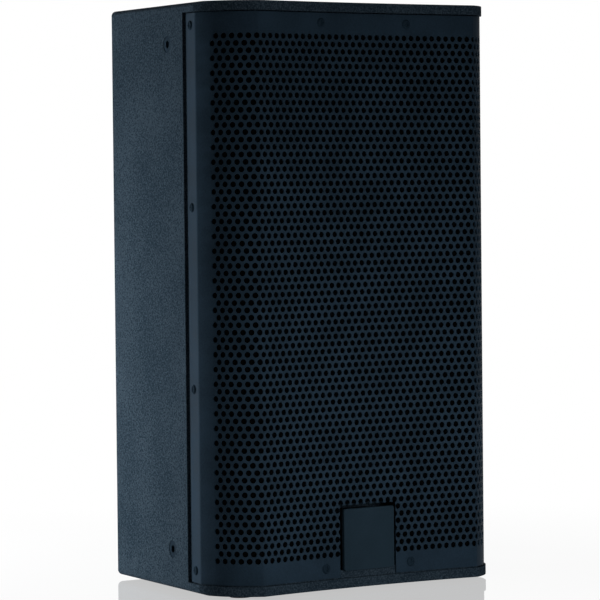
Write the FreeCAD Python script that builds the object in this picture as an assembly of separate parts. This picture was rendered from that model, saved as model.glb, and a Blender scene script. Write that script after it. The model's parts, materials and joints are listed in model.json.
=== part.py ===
import FreeCAD, Part
import math
import os

V = FreeCAD.Vector

# Passive two-way loudspeaker cabinet with a 10 inch woofer and a horn, in millimetres.
# X is to the right seen from the front, Y to the back, Z up. The origin is on the floor,
# in the middle of the width and of the depth.

# Cabinet
cab_width = 288.0             # over the grille bends, the widest place
cab_depth = 219.0             # from the front creases to the back
cab_height = 488.0            # over the top and bottom boards
foot_height = 3.0
foot_radius = 10.0
foot_inset = 34.0
board_thickness = 15.0        # top, bottom, back and baffle
side_thickness = 12.0
board_lip = 8.0               # board edge that shows above and below the grille
edge_round = 4.0              # roundover along the outer edges
back_round = 6.0              # roundover on the upright back edges
brace_thickness = 12.0
brace_frame = 26.0            # width of wood left around the brace's window
brace_corner = 12.0

# Front contour, seen from above
front_radius = 920.0          # hollow curve between the creases
corner_radius = 56.5
crease_heading = 24.0         # degrees from the X axis, just outside the crease
bend_heading = 85.5           # degrees from the X axis, where the corner meets the flange
side_taper = 8.9              # degrees

# Grille
grille_thickness = 1.2
grille_inset = 1.5            # the grille lies this far inside the boards' outline
grille_edge_gap = 1.0         # between the grille and the board lips
flange_length = 17.5
flange_gap = 4.5              # open slot behind the flange
foam_thickness = 5.0
foam_notch_gap = 1.0          # between the foam and the badge notch
curve_gap = 0.3               # between curved faces of neighbours
hole_margin = 17.0            # plain strip along the grille's top and bottom edges
flange_screw_inset = 10.0     # from the ends of the flange
flange_screw_back = 7.5       # from the back edge of the flange
front_screw_half_pitch = 44.0
front_screw_inset = 8.3
grille_screw_radius = 1.75
grille_head_radius = 4.1
grille_head_depth = 1.0
grille_screw_length = 10.0
cleat_depth = 14.0
hole_clearance = 0.25         # around screw shanks
hole_spare = 0.5              # a blind hole is this much deeper than its screw
thread_gap = 0.05             # between a screw and the thread that holds it
cleat_end_gap = 12.0          # from the ends of a cleat to the creases

# Cutting shapes run past what they cut
over = 1.0
far_over = 20.0               # past the hollow front, from its deepest point
side_over = 5.0               # past the rounded corners
weld = 1.0                    # overlap where the pieces of one solid are joined

# Screws
head_crown = 0.72             # pan head: its face as a share of its width
recess_half = 0.55            # cross recess: half its length as a share of the head radius
recess_floor = 0.35           # metal left under the recess as a share of the head
sunk_head = 1.9               # height of a countersunk head
sink_depth = 2.0
sink_clearance = 0.2
sunk_recess_half = 0.6
sunk_recess_depth = 1.1

# Badge
badge_size = 52.0
badge_gap = 3.0
badge_proud = 2.5
badge_thickness = 3.5
badge_lift = 5.2              # above the lower edge of the grille
badge_post_inset = 3.0        # the post behind the plate is this much smaller
badge_post_wall = 2.5
badge_post_front = 7.0
badge_peg_radius = 2.5
badge_peg_length = 5.0
badge_peg_half_pitch = 12.0
badge_peg_clearance = 0.05
badge_corner = 2.0
badge_edge = 0.8

# Baffle
baffle_setback = 34.0         # from the grille to the baffle
woofer_lift = 52.0            # wood left under the woofer flange
horn_gap = 12.0               # between the woofer flange and the horn flange
horn_top_gap = 12.0           # between the horn flange and the top board

# Woofer, seen from the side: depths are measured from the front of its flange
woofer_radius = 123.0
woofer_flange = 5.0
woofer_cutout = 112.0
basket_wall = 3.5
basket_windows = 6
spider_radius = 62.0
spider_thickness = 0.6
spider_flat = 2.0             # flat rim next to the former
spider_ridge = 2.0
spider_valley = 1.0
spider_ridges = 6
spider_depth = 46.0
spider_shelf = 7.0            # the basket reaches this far past the spider
basket_window_inner = 14.0    # past the spider
basket_window_margin = 5.0    # inside the wall
basket_window_spread = 22.0   # degrees, to each side
basket_hub = 3.0              # the ring under the top plate
tag_boss = 7.0                # the boss reaches this far past the tags
woofer_screw_circle = 117.5
woofer_screws = 8
woofer_screw_radius = 2.5
woofer_screw_length = 20.0
woofer_head_radius = 4.6
woofer_head = 2.6
surround_outer = 108.0
surround_inner = 89.5
surround_lip = 5.0
surround_thickness = 0.8
gasket_thickness = 3.0
cone_thickness = 1.0
cone_depth = 38.0
cap_radius = 36.0
cap_height = 11.0
cap_thickness = 0.8
cap_shoulder = 0.62           # the dome passes through this share of its radius and height
coil_radius = 26.0
coil_wall = 0.4
coil_winding = 0.8
coil_length = 14.0
gap_clearance = 0.6
motor_depth = 61.0            # from the flange to the top plate
top_plate_radius = 55.0
top_plate_thickness = 8.0
magnet_radius = 60.0
magnet_bore = 32.0
magnet_thickness = 20.0
yoke_radius = 56.0
yoke_thickness = 8.0
yoke_vent = 8.0

# Horn and its driver
horn_width = 232.0
horn_flange = 4.0
horn_corner = 12.0
mouth_width = 200.0
mouth_border = 12.0           # flange above and below the mouth
mouth_corner = 14.0
horn_length = 62.0            # from the baffle face to the driver's seat
horn_wall = 3.0
horn_flare = 1.7              # power of the mouth's opening along the horn
horn_sections = 5
horn_cutout_gap = 1.5         # between the horn's shell and the baffle
throat_radius = 12.7
horn_seat_radius = 40.0
horn_seat_thickness = 6.0
horn_screw_inset = 7.0
horn_screw_radius = 2.0
horn_screw_length = 16.0
horn_head_radius = 3.8
horn_head = 2.2
driver_radius = 45.0
driver_plate = 7.0
driver_magnet_outer = 43.0
driver_magnet_inner = 26.0
driver_magnet_thickness = 15.0
driver_top_plate = 8.0
driver_coil_radius = 22.3
driver_coil_wall = 0.3
driver_gap = 0.6
driver_dome_height = 8.0
dome_shoulder = (0.58, 0.675)   # the dome passes through these shares of its radius and height
diaphragm_rim = 2.0           # flat rim past the former
diaphragm_lift = 0.6          # between the rim and the top plate
driver_cap_depth = 20.0
driver_cap_wall = 2.5
driver_cap_setback = 1.0      # from the edge of the plates
driver_cap_round = 3.0
driver_cap_seat = 3.0         # solid ring that holds the diaphragm's rim
driver_bolt_circle = 32.0
driver_bolts = 3
driver_bolt_radius = 3.0
driver_bolt_head = 4.0
driver_bolt_floor = 1.0       # metal left under its blind hole
driver_bolt_head_radius = 5.1
plug_wall_gap = 3.0           # between the phase plug and the exit bore
plug_tip_radius = 1.5
plug_setback = 6.0
rib_thickness = 1.5
ribs = 3

# Ports
port_half_pitch = 94.0
port_height = 55.0            # centre above the floor of the cabinet
port_bore = 21.0
port_wall = 2.0
port_length = 70.0
port_flange = 5.0             # how far the flange reaches past the tube
port_flange_thickness = 2.0

# Rear panel fittings
dish_width = 150.0
dish_height = 116.0
dish_corner = 8.0
dish_depth = 34.0
dish_wall = 3.0
dish_border = 14.0
dish_lift = 106.0             # centre above the underside of the cabinet
panel_screw_radius = 1.75
panel_screw_length = 14.0
panel_head_radius = 3.6
socket_half_pitch = 20.0
socket_offset = 20.0          # sockets lie above the dish's middle
socket_flange_width = 26.0
socket_flange_height = 31.0
socket_flange_thickness = 2.5
socket_radius = 11.8
socket_bore = 10.0
socket_core = 4.0
socket_front = 8.0
socket_back = 20.0
socket_floor = 4.0
socket_corner = 3.0
socket_tabs = 4
socket_tab_length = 8.0
socket_tab_width = 6.0
socket_tab_thickness = 1.0
core_setback = 2.0
strip_width = 76.0
strip_height = 20.0
strip_thickness = 9.0
strip_ways = 4
strip_offset = 27.0           # barrier strip lies below the dish's middle
strip_rib = 1.6
strip_screw_radius = 1.9
strip_head_radius = 3.6
strip_head = 2.0
strip_trough = 4.5             # height of the strip under its clamps
handle_width = 170.0
handle_height = 96.0
handle_drop = 72.0            # centre below the top of the cabinet
handle_depth = 40.0
handle_grip_radius = 8.0
handle_grip_setback = 10.0    # from the back face to the front of the grip

# Crossover
crossover_width = 140.0
crossover_height = 92.0
crossover_thickness = 1.6
crossover_standoff = 8.0
crossover_rise = 8.0          # above the dish
standoff_radius = 3.5
standoff_inset = 7.0
standoff_head_radius = 3.2
standoff_head = 2.0
standoff_bite = 7.0            # how far its screw enters the back panel
# x and z from the middle of the board, then radius, bore and length of the part
coil_sizes = ((-40.0, 14.0, 24.0, 9.0, 26.0), (18.0, 20.0, 18.0, 7.0, 20.0))
# x and z from the middle of the board, then radius or width, and length
capacitor_sizes = ((-48.0, -30.0, 9.0, 34.0), (-24.0, -30.0, 9.0, 34.0), (2.0, -28.0, 7.0, 28.0))
resistor_sizes = ((55.0, 14.0, 8.0, 34.0), (43.0, 14.0, 8.0, 34.0), (52.0, -22.0, 8.0, 24.0))

# Rigging
suspension_inset = 33.0       # from the ends of the cabinet
suspension_setback = 91.5     # from the front of the grille
insert_radius = 6.5
insert_bore = 5.1
insert_flange_radius = 11.0
insert_flange = 2.0
plug_head_radius = 7.0
plug_head = 2.2
plug_radius = 4.9
plug_length = 12.0
plug_hex = 6.0
plug_hex_depth = 6.0
rear_point_height = 250.0
socket_pole_bore = 17.8       # radius, for a 35 mm pole
pole_cup_wall = 2.5
pole_cup_depth = 82.0
pole_flange_radius = 46.0
pole_flange = 3.0
pole_screw_circle = 38.0
pole_screws = 4
wood_screw_radius = 2.0
wood_screw_head = 3.8
foot_screw_length = 12.0
foot_screw_seat = 1.0         # height of the screw heads above the floor
foot_sink_clearance = 0.4
foot_hole_clearance = 0.1

# Lining
lining_thickness = 12.0
lining_gap = 6.0

# Internal leads: twin cable. Each leaves and meets its ends squarely, at the depths given,
# with the points of its free run between them.
lead_radius = 2.0
tag_height = 66.0             # woofer tags above the woofer's axis
tag_half_pitch = 8.0
tag_length = 6.0
tag_plate = 2.0
tag_plate_end = 6.0           # past the tags
tag_plate_half_height = 4.5
tag_half_width = 2.4
tag_half_thickness = 0.4
woofer_lead_depths = (22.0, 66.0)
woofer_lead_points = ((12.0, 46.0, 268.0),)
driver_lead_depths = (57.0, 68.0)
driver_lead_points = ((-13.0, 52.0, 300.0), (-10.0, 60.0, 335.0), (-6.0, 74.0, 362.0))
input_lead_depths = (28.5, 64.0)
input_lead_points = ((-18.0, 28.4, 156.5), (-14.0, 50.0, 176.0))

# Places that follow from the sizes
floor_z = foot_height
inner_bottom = floor_z + board_thickness
roof_z = floor_z + cab_height
inner_top = roof_z - board_thickness
back_y = cab_depth / 2
inner_back = back_y - board_thickness
taper = math.radians(side_taper)
head_1 = math.radians(crease_heading)
head_2 = math.radians(bend_heading)
crease_half = cab_width / 2 - corner_radius * (math.sin(head_2) - math.sin(head_1))
sagitta = front_radius - math.sqrt(front_radius ** 2 - crease_half ** 2)
apex_y = -cab_depth / 2 + sagitta
hollow_centre = (0.0, apex_y - front_radius)
corner_centre = (crease_half - corner_radius * math.sin(head_1),
                 -cab_depth / 2 + corner_radius * math.cos(head_1))
bend_x = corner_centre[0] + corner_radius * math.sin(head_2)
bend_y = corner_centre[1] - corner_radius * math.cos(head_2)
grille_front = apex_y + grille_inset
grille_back = grille_inset + grille_thickness
flange_end = bend_y + flange_length * math.cos(taper)
rebate_end = flange_end + flange_gap
grille_bottom = floor_z + board_lip + grille_edge_gap
grille_top = roof_z - board_lip - grille_edge_gap
baffle_y = grille_front + baffle_setback
baffle_back = baffle_y + board_thickness
woofer_z = inner_bottom + woofer_lift + woofer_radius
woofer_y = baffle_y - woofer_flange
horn_bottom = woofer_z + woofer_radius + horn_gap
horn_height = inner_top - horn_top_gap - horn_bottom
horn_z = horn_bottom + horn_height / 2
mouth_height = horn_height - 2 * mouth_border
driver_y = baffle_y + horn_length
brace_z = woofer_z + woofer_radius + horn_gap / 2 - brace_thickness / 2
dish_z = floor_z + dish_lift
dish_floor = back_y - dish_depth
handle_z = roof_z - handle_drop
handle_floor = back_y - handle_depth
crossover_z = dish_z + dish_height / 2 + crossover_rise + crossover_height / 2
crossover_y = inner_back - crossover_standoff - crossover_thickness
suspension_y = grille_front + suspension_setback
suspension_heights = (floor_z + suspension_inset, roof_z - suspension_inset)
badge_z = grille_bottom + badge_lift + badge_size / 2
notch_half = badge_size / 2 + badge_gap
notch_top = badge_z + badge_size / 2 + badge_gap
badge_face = grille_front - badge_proud
badge_back = badge_face + badge_thickness
cleat_height = hole_margin - (board_thickness - board_lip - grille_edge_gap)


def export(name, shape):
    shape.exportStep("parts/" + name + ".step")
    solids = shape.Solids
    print(name, len(solids), "solids", round(shape.Volume), "mm3", shape.isValid())


def box(x0, x1, y0, y1, z0, z1):
    return Part.makeBox(x1 - x0, y1 - y0, z1 - z0, V(x0, y0, z0))


def rod_y(radius, y0, y1, x, z):
    return Part.makeCylinder(radius, y1 - y0, V(x, y0, z), V(0, 1, 0))


def rod_z(radius, z0, z1, x, y):
    return Part.makeCylinder(radius, z1 - z0, V(x, y, z0), V(0, 0, 1))


def turned(profile, z, start=0.0):
    # A closed outline of (radius, depth) points, turned about the line along Y at height z.
    points = [V(r, start + depth, z) for r, depth in profile]
    face = Part.Face(Part.makePolygon(points + [points[0]]))
    return face.revolve(V(0, 0, z), V(0, 1, 0), 360)


def tube_y(outer, inner, y0, y1, x, z):
    return rod_y(outer, y0, y1, x, z).cut(rod_y(inner, y0 - over, y1 + over, x, z))


def rounded_wire(width, height, corner, x, y, z):
    # A rounded rectangle in the XZ plane at depth y.
    w, h = width / 2, height / 2
    k = corner * (1 - math.sqrt(0.5))
    edges = []
    for sx, sz in ((1, 1), (-1, 1), (-1, -1), (1, -1)):
        first = V(x + sx * w, y, z + sz * (h - corner))
        middle = V(x + sx * (w - k), y, z + sz * (h - k))
        last = V(x + sx * (w - corner), y, z + sz * h)
        if sx * sz < 0:
            first, last = last, first
        edges.append(Part.Arc(first, middle, last).toShape())
    lines = []
    for n, arc in enumerate(edges):
        after = edges[(n + 1) % 4]
        lines += [arc, Part.makeLine(arc.lastVertex().Point, after.firstVertex().Point)]
    return Part.Wire(lines)


def rounded_block(width, height, corner, x, z, y0, y1):
    face = Part.Face(rounded_wire(width, height, corner, x, y0, z))
    return face.extrude(V(0, y1 - y0, 0))


def circles_meet(c1, r1, c2, r2):
    # The point with the smaller Y where two circles cross.
    dx, dy = c2[0] - c1[0], c2[1] - c1[1]
    d = math.hypot(dx, dy)
    a = (r1 ** 2 - r2 ** 2 + d ** 2) / (2 * d)
    h = math.sqrt(r1 ** 2 - a ** 2)
    mx, my = c1[0] + a * dx / d, c1[1] + a * dy / d
    found = [(mx + h * dy / d, my - h * dx / d), (mx - h * dy / d, my + h * dx / d)]
    return max(found, key=lambda p: p[0])


def side_x(y, inset):
    # Half width of the plan at depth y, a given inset from the outer face of the side.
    return bend_x - inset / math.cos(taper) - (y - bend_y) * math.tan(taper)


def bend_point(inset):
    # Where the rounded corner, moved inwards, meets the side line, moved inwards.
    r = corner_radius - inset
    nx, ny = math.cos(taper), math.sin(taper)
    px, py = side_x(bend_y, inset), bend_y
    dx, dy = -ny, nx
    fx, fy = px - corner_centre[0], py - corner_centre[1]
    b = fx * dx + fy * dy
    c = fx ** 2 + fy ** 2 - r ** 2
    t = -b - math.sqrt(b * b - c)
    return px + t * dx, py + t * dy


def front_edges(inset, end_y, z):
    # The front contour from the left flange to the right one, moved inwards by inset.
    crease = circles_meet(hollow_centre, front_radius + inset, corner_centre, corner_radius - inset)
    bend = bend_point(inset)
    a1 = math.atan2(crease[1] - corner_centre[1], crease[0] - corner_centre[0])
    a2 = math.atan2(bend[1] - corner_centre[1], bend[0] - corner_centre[0])
    r = corner_radius - inset
    mid = (corner_centre[0] + r * math.cos((a1 + a2) / 2),
           corner_centre[1] + r * math.sin((a1 + a2) / 2))
    end = (side_x(end_y, inset), end_y)

    def left(p):
        return V(-p[0], p[1], z)

    def right(p):
        return V(p[0], p[1], z)

    return [Part.makeLine(left(end), left(bend)),
            Part.Arc(left(bend), left(mid), left(crease)).toShape(),
            Part.Arc(left(crease), V(0, apex_y + inset, z), right(crease)).toShape(),
            Part.Arc(right(crease), right(mid), right(bend)).toShape(),
            Part.makeLine(right(bend), right(end))]


def front_band(inset_1, inset_2, end_y, z0, z1):
    # The material between two insets of the front contour.
    outer = front_edges(inset_1, end_y, z0)
    inner = front_edges(inset_2, end_y, z0)
    caps = [Part.makeLine(outer[-1].lastVertex().Point, inner[-1].lastVertex().Point),
            Part.makeLine(outer[0].firstVertex().Point, inner[0].firstVertex().Point)]
    wire = Part.Wire(Part.__sortEdges__(outer + inner + caps))
    return Part.Face(wire).extrude(V(0, 0, z1 - z0))


def plan_block(inset, end_y, z0, z1):
    # The whole plan behind the front contour.
    outer = front_edges(inset, end_y, z0)
    close = Part.makeLine(outer[-1].lastVertex().Point, outer[0].firstVertex().Point)
    return Part.Face(Part.Wire(Part.__sortEdges__(outer + [close]))).extrude(V(0, 0, z1 - z0))


def between_sides(y0, y1, z0, z1):
    # A board that fits between the inner faces of the side panels.
    corners = [(-side_x(y0, side_thickness), y0), (side_x(y0, side_thickness), y0),
               (side_x(y1, side_thickness), y1), (-side_x(y1, side_thickness), y1)]
    points = [V(x, y, z0) for x, y in corners]
    return Part.Face(Part.makePolygon(points + [points[0]])).extrude(V(0, 0, z1 - z0))


def side_axis(side, y, z):
    # A point on the outer face of a side panel, and the direction into the cabinet.
    point = V(side * side_x(y, 0), y, z)
    inward = V(-side * math.cos(taper), -math.sin(taper), 0)
    return point, inward


def side_rod(radius, side, y, z, depth_0, depth_1):
    point, inward = side_axis(side, y, z)
    return Part.makeCylinder(radius, depth_1 - depth_0, point + inward * depth_0, inward)


def joined(shapes):
    result = shapes[0]
    for shape in shapes[1:]:
        result = result.fuse(shape)
    return result.removeSplitter()


def group(shapes):
    return Part.makeCompound(shapes)


def upright_edges(shape, test):
    found = []
    for edge in shape.Edges:
        ends = edge.Vertexes
        if len(ends) != 2:
            continue
        a, b = ends[0].Point, ends[1].Point
        if abs(a.x - b.x) < 0.01 and abs(a.y - b.y) < 0.01 and test(a):
            found.append(edge)
    return found


def rim_edges(shape, z):
    return [e for e in shape.Edges if all(abs(v.Point.z - z) < 0.01 for v in e.Vertexes)]


def flange_screw_places():
    heights = [grille_bottom + flange_screw_inset
               + n * (grille_top - grille_bottom - 2 * flange_screw_inset) / 3 for n in range(4)]
    y = flange_end - flange_screw_back
    return [(side, y, z) for side in (-1, 1) for z in heights]


def front_screw_places():
    xs = (-front_screw_half_pitch, front_screw_half_pitch)
    zs = (grille_bottom + front_screw_inset, grille_top - front_screw_inset)
    return [(x, z) for z in zs for x in xs]


def foot_places():
    front = -cab_depth / 2 + foot_inset
    back = back_y - foot_inset
    return [(s * (side_x(y, 0) - foot_inset), y) for y in (front, back) for s in (-1, 1)]


def pole_screw_places():
    angles = [math.pi / 4 + n * 2 * math.pi / pole_screws for n in range(pole_screws)]
    return [(pole_screw_circle * math.cos(a), pole_screw_circle * math.sin(a)) for a in angles]


def horn_screw_places():
    w = horn_width / 2 - horn_screw_inset
    h = horn_height / 2 - horn_screw_inset
    return [(x, horn_z + z) for x in (-w, 0, w) for z in (-h, h)]


def border_places(width, height, z, inset):
    w, h = width / 2 - inset, height / 2 - inset
    return [(x, z + dz) for x in (-w, w) for dz in (-h, h)]


def woofer_screw_places():
    angles = [(n + 0.5) * 2 * math.pi / woofer_screws for n in range(woofer_screws)]
    return [(woofer_screw_circle * math.cos(a), woofer_z + woofer_screw_circle * math.sin(a))
            for a in angles]


def board(z0, z1, rim):
    # Top or bottom board: full plan, with its long edges rounded over.
    shape = plan_block(0, back_y, z0, z1)
    corners = upright_edges(shape, lambda p: p.y > back_y - 1)
    shape = shape.makeFillet(back_round, corners)
    shape = shape.makeFillet(edge_round, [e for e in rim_edges(shape, rim)
                                          if e.CenterOfMass.y > bend_y + 1])
    return shape


def top_board():
    shape = board(inner_top, roof_z, roof_z)
    rebate = front_band(-side_over, grille_back + curve_gap, rebate_end, inner_top - over,
                        roof_z - board_lip)
    return shape.cut(rebate)


def bottom_board():
    shape = board(floor_z, inner_bottom, floor_z)
    rebate = front_band(-side_over, grille_back + curve_gap, rebate_end, floor_z + board_lip,
                        inner_bottom + over)
    shape = shape.cut(rebate)
    shape = shape.cut(rod_z(pole_flange_radius + curve_gap, floor_z - over, floor_z + pole_flange, 0, 0))
    cup = socket_pole_bore + pole_cup_wall + curve_gap
    shape = shape.cut(rod_z(cup, floor_z, inner_bottom + over, 0, 0))
    for x, y in pole_screw_places():
        shape = shape.cut(rod_z(wood_screw_radius + hole_clearance, floor_z, inner_bottom - over, x, y))
    for x, y in foot_places():
        depth = foot_screw_length
        shape = shape.cut(rod_z(wood_screw_radius + hole_clearance, floor_z - over, floor_z + depth, x, y))
    return shape


def side_panel(side):
    y0 = baffle_y
    corners = [(side_x(y0, 0), y0), (side_x(back_y, 0), back_y),
               (side_x(back_y, side_thickness), back_y), (side_x(y0, side_thickness), y0)]
    points = [V(side * x, y, inner_bottom) for x, y in corners]
    face = Part.Face(Part.makePolygon(points + [points[0]]))
    shape = face.extrude(V(0, 0, inner_top - inner_bottom))
    outer = side_x(back_y, 0)
    shape = shape.makeFillet(back_round, upright_edges(shape, lambda p: abs(abs(p.x) - outer) < 0.1))
    strip = [(side_x(y0 - 2, -2), y0 - 2), (side_x(rebate_end, -2), rebate_end),
             (side_x(rebate_end, grille_back), rebate_end), (side_x(y0 - 2, grille_back), y0 - 2)]
    points = [V(side * x, y, inner_bottom - 1) for x, y in strip]
    rebate = Part.Face(Part.makePolygon(points + [points[0]])).extrude(V(0, 0, cab_height))
    shape = shape.cut(rebate)
    # The front corner follows the inside of the grille's rounded corner.
    low, high = inner_bottom - over, inner_top + over
    outside = box(-cab_width, cab_width, y0 - far_over, bend_y, low, high)
    shape = shape.cut(outside.cut(plan_block(grille_back + curve_gap, back_y, low, high)))
    for s, y, z in flange_screw_places():
        if s == side:
            shape = shape.cut(side_rod(grille_screw_radius + hole_clearance, side, y, z, 0,
                                       grille_inset + grille_screw_length + hole_spare))
    for z in suspension_heights:
        head = plug_head_radius + curve_gap
        shape = shape.cut(side_rod(head, side, suspension_y, z, -over, plug_head))
        body = insert_radius + curve_gap
        shape = shape.cut(side_rod(body, side, suspension_y, z, 0, side_thickness + over))
    return shape


def back_panel():
    shape = between_sides(inner_back, back_y, inner_bottom, inner_top)
    for width, height, z in ((dish_width, dish_height, dish_z), (handle_width, handle_height, handle_z)):
        shape = shape.cut(rounded_block(width + 2 * curve_gap, height + 2 * curve_gap,
                                        dish_corner + curve_gap, 0, z, back_y - dish_wall, back_y + 1))
        shape = shape.cut(rounded_block(width - 2 * dish_border + 2 * curve_gap,
                                        height - 2 * dish_border + 2 * curve_gap,
                                        dish_corner + curve_gap, 0, z, inner_back - 1, back_y))
        for x, sz in border_places(width, height, z, dish_border / 2):
            shape = shape.cut(rod_y(panel_screw_radius + hole_clearance,
                                    back_y - panel_screw_length - hole_spare, back_y, x, sz))
    shape = shape.cut(rod_y(insert_radius + curve_gap, inner_back - over, back_y + over, 0,
                            rear_point_height))
    for x, z in standoff_places():
        shape = shape.cut(rod_y(panel_screw_radius + hole_clearance, inner_back - over,
                              inner_back + standoff_bite + 2 * hole_spare, x, z))
    return shape


def front_baffle():
    shape = between_sides(baffle_y, baffle_back, inner_bottom, inner_top)
    shape = shape.cut(rod_y(woofer_cutout, baffle_y - over, baffle_back + over, 0, woofer_z))
    for x, z in woofer_screw_places():
        depth = woofer_screw_length - woofer_flange
        shape = shape.cut(rod_y(woofer_screw_radius + hole_clearance, baffle_y - over,
                                baffle_y + depth + hole_spare, x, z))
    shape = shape.cut(rounded_block(mouth_width + 2 * (horn_wall + horn_cutout_gap),
                                    mouth_height + 2 * (horn_wall + horn_cutout_gap),
                                    mouth_corner + horn_wall, 0, horn_z, baffle_y - over,
                                    baffle_back + over))
    for x, z in horn_screw_places():
        depth = horn_screw_length - horn_flange
        shape = shape.cut(rod_y(horn_screw_radius + hole_clearance, baffle_y - over,
                                baffle_y + depth + hole_spare, x, z))
    for side in (-1, 1):
        shape = shape.cut(rod_y(port_bore + port_wall + curve_gap, baffle_y - over, baffle_back + over,
                                side * port_half_pitch, floor_z + port_height))
    return shape


def shelf_brace():
    shape = between_sides(baffle_back, inner_back, brace_z, brace_z + brace_thickness)
    half = side_x(inner_back, side_thickness) - brace_frame
    window = box(-half, half, baffle_back + brace_frame, inner_back - brace_frame, brace_z - over,
                 brace_z + brace_thickness + over)
    window = window.makeFillet(brace_corner, upright_edges(window, lambda p: True))
    return shape.cut(window)


def grille_cleat(z0, z1, halves):
    front = front_band(grille_back + curve_gap, grille_back + curve_gap + cleat_depth, bend_y, z0, z1)
    reach = crease_half - cleat_end_gap
    shape = front.common(box(-reach, reach, apex_y - far_over, apex_y + 2 * far_over, z0, z1))
    if halves:
        half = notch_half + curve_gap
        shape = shape.cut(box(-half, half, apex_y - far_over, apex_y + 2 * far_over, z0 - over, z1 + over))
    for x, z in front_screw_places():
        if z0 < z < z1:
            shape = shape.cut(rod_y(grille_screw_radius + hole_clearance, apex_y - far_over,
                                    screw_face(x) + grille_screw_length + hole_spare, x, z))
    return shape


def screw_face(x):
    # Depth of the grille's outer face at distance x from its middle.
    return hollow_centre[1] + math.sqrt((front_radius + grille_inset) ** 2 - x ** 2)


def grille():
    shape = front_band(grille_inset, grille_back, flange_end, grille_bottom, grille_top)
    shape = shape.cut(box(-notch_half, notch_half, apex_y - far_over, apex_y + 2 * far_over,
                          grille_bottom - over, notch_top))
    for side, y, z in flange_screw_places():
        shape = shape.cut(side_rod(grille_screw_radius + hole_clearance, side, y, z, -over, 6))
    for x, z in front_screw_places():
        shape = shape.cut(rod_y(grille_screw_radius + hole_clearance, apex_y - far_over,
                                apex_y + far_over, x, z))
    return shape


def grille_foam():
    z0 = inner_bottom + cleat_height + curve_gap
    z1 = inner_top - cleat_height - curve_gap
    end = bend_y + 2 * grille_thickness
    shape = front_band(grille_back + curve_gap, grille_back + curve_gap + foam_thickness, end, z0, z1)
    # It stops where the side panels' front edges begin.
    shape = shape.common(box(-cab_width, cab_width, -cab_depth, baffle_y - curve_gap, z0, z1))
    half = notch_half + foam_notch_gap
    return shape.cut(box(-half, half, apex_y - far_over, apex_y + 2 * far_over, z0 - over,
                         notch_top + foam_notch_gap))


def pan_screw(radius, head_radius, head, length):
    # A screw along +Y with its head's underside at Y = 0, and a cross recess.
    shank = Part.makeCylinder(radius, length, V(0, 0, 0), V(0, 1, 0))
    cap = Part.makeCone(head_radius * head_crown, head_radius, head, V(0, -head, 0), V(0, 1, 0))
    slot = head_radius * recess_half
    top, floor = -head - over, -head * recess_floor
    cross = box(-slot, slot, top, floor, -slot / 4, slot / 4)
    cross = cross.fuse(box(-slot / 4, slot / 4, top, floor, -slot, slot))
    return shank.fuse(cap).removeSplitter().cut(cross)


def placed(shape, x, y, z, heading=0.0):
    # heading turns the shape about Z, so that its +Y axis points into a side panel.
    copy = shape.copy()
    copy.rotate(V(0, 0, 0), V(0, 0, 1), heading)
    copy.translate(V(x, y, z))
    return copy


def grille_screws():
    screw = pan_screw(grille_screw_radius, grille_head_radius, grille_head_depth,
                      grille_screw_length - grille_thickness)
    side_screws = []
    for side, y, z in flange_screw_places():
        point, inward = side_axis(side, y, z)
        seat = point + inward * grille_inset
        side_screws.append(placed(screw, seat.x, seat.y, seat.z, side * (90.0 + side_taper)))
    front_screws = []
    for x, z in front_screw_places():
        front_screws.append(placed(screw, x, screw_face(abs(x) + grille_head_radius), z))
    return group(side_screws), group(front_screws)


def badge_post():
    # Hollow moulded post between the baffle and the plate; two sockets take the plate's pegs.
    half = badge_size / 2 - badge_post_inset
    z0 = inner_bottom + curve_gap
    z1 = badge_z + half
    shape = box(-half, half, badge_back, baffle_y, z0, z1)
    w = badge_post_wall
    shape = shape.cut(box(-half + w, half - w, badge_back + badge_post_front, baffle_y + over,
                          z0 + w, z1 - w))
    for x in (-badge_peg_half_pitch, badge_peg_half_pitch):
        shape = shape.cut(rod_y(badge_peg_radius + badge_peg_clearance, badge_back - over,
                                badge_back + badge_peg_length + hole_spare,
                                x, badge_z))
    return shape


def badge_plate():
    half = badge_size / 2
    shape = box(-half, half, badge_face, badge_back, badge_z - half, badge_z + half)
    along_y = [e for e in shape.Edges if abs(e.Vertexes[0].Point.y - e.Vertexes[1].Point.y) > 1]
    shape = shape.makeFillet(badge_corner, along_y)
    front = [e for e in shape.Edges if all(abs(v.Point.y - badge_face) < 0.01 for v in e.Vertexes)]
    shape = shape.makeFillet(badge_edge, front)
    pegs = [rod_y(badge_peg_radius, badge_back - 0.5, badge_back + badge_peg_length, x, badge_z)
            for x in (-badge_peg_half_pitch, badge_peg_half_pitch)]
    return joined([shape] + pegs)


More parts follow.
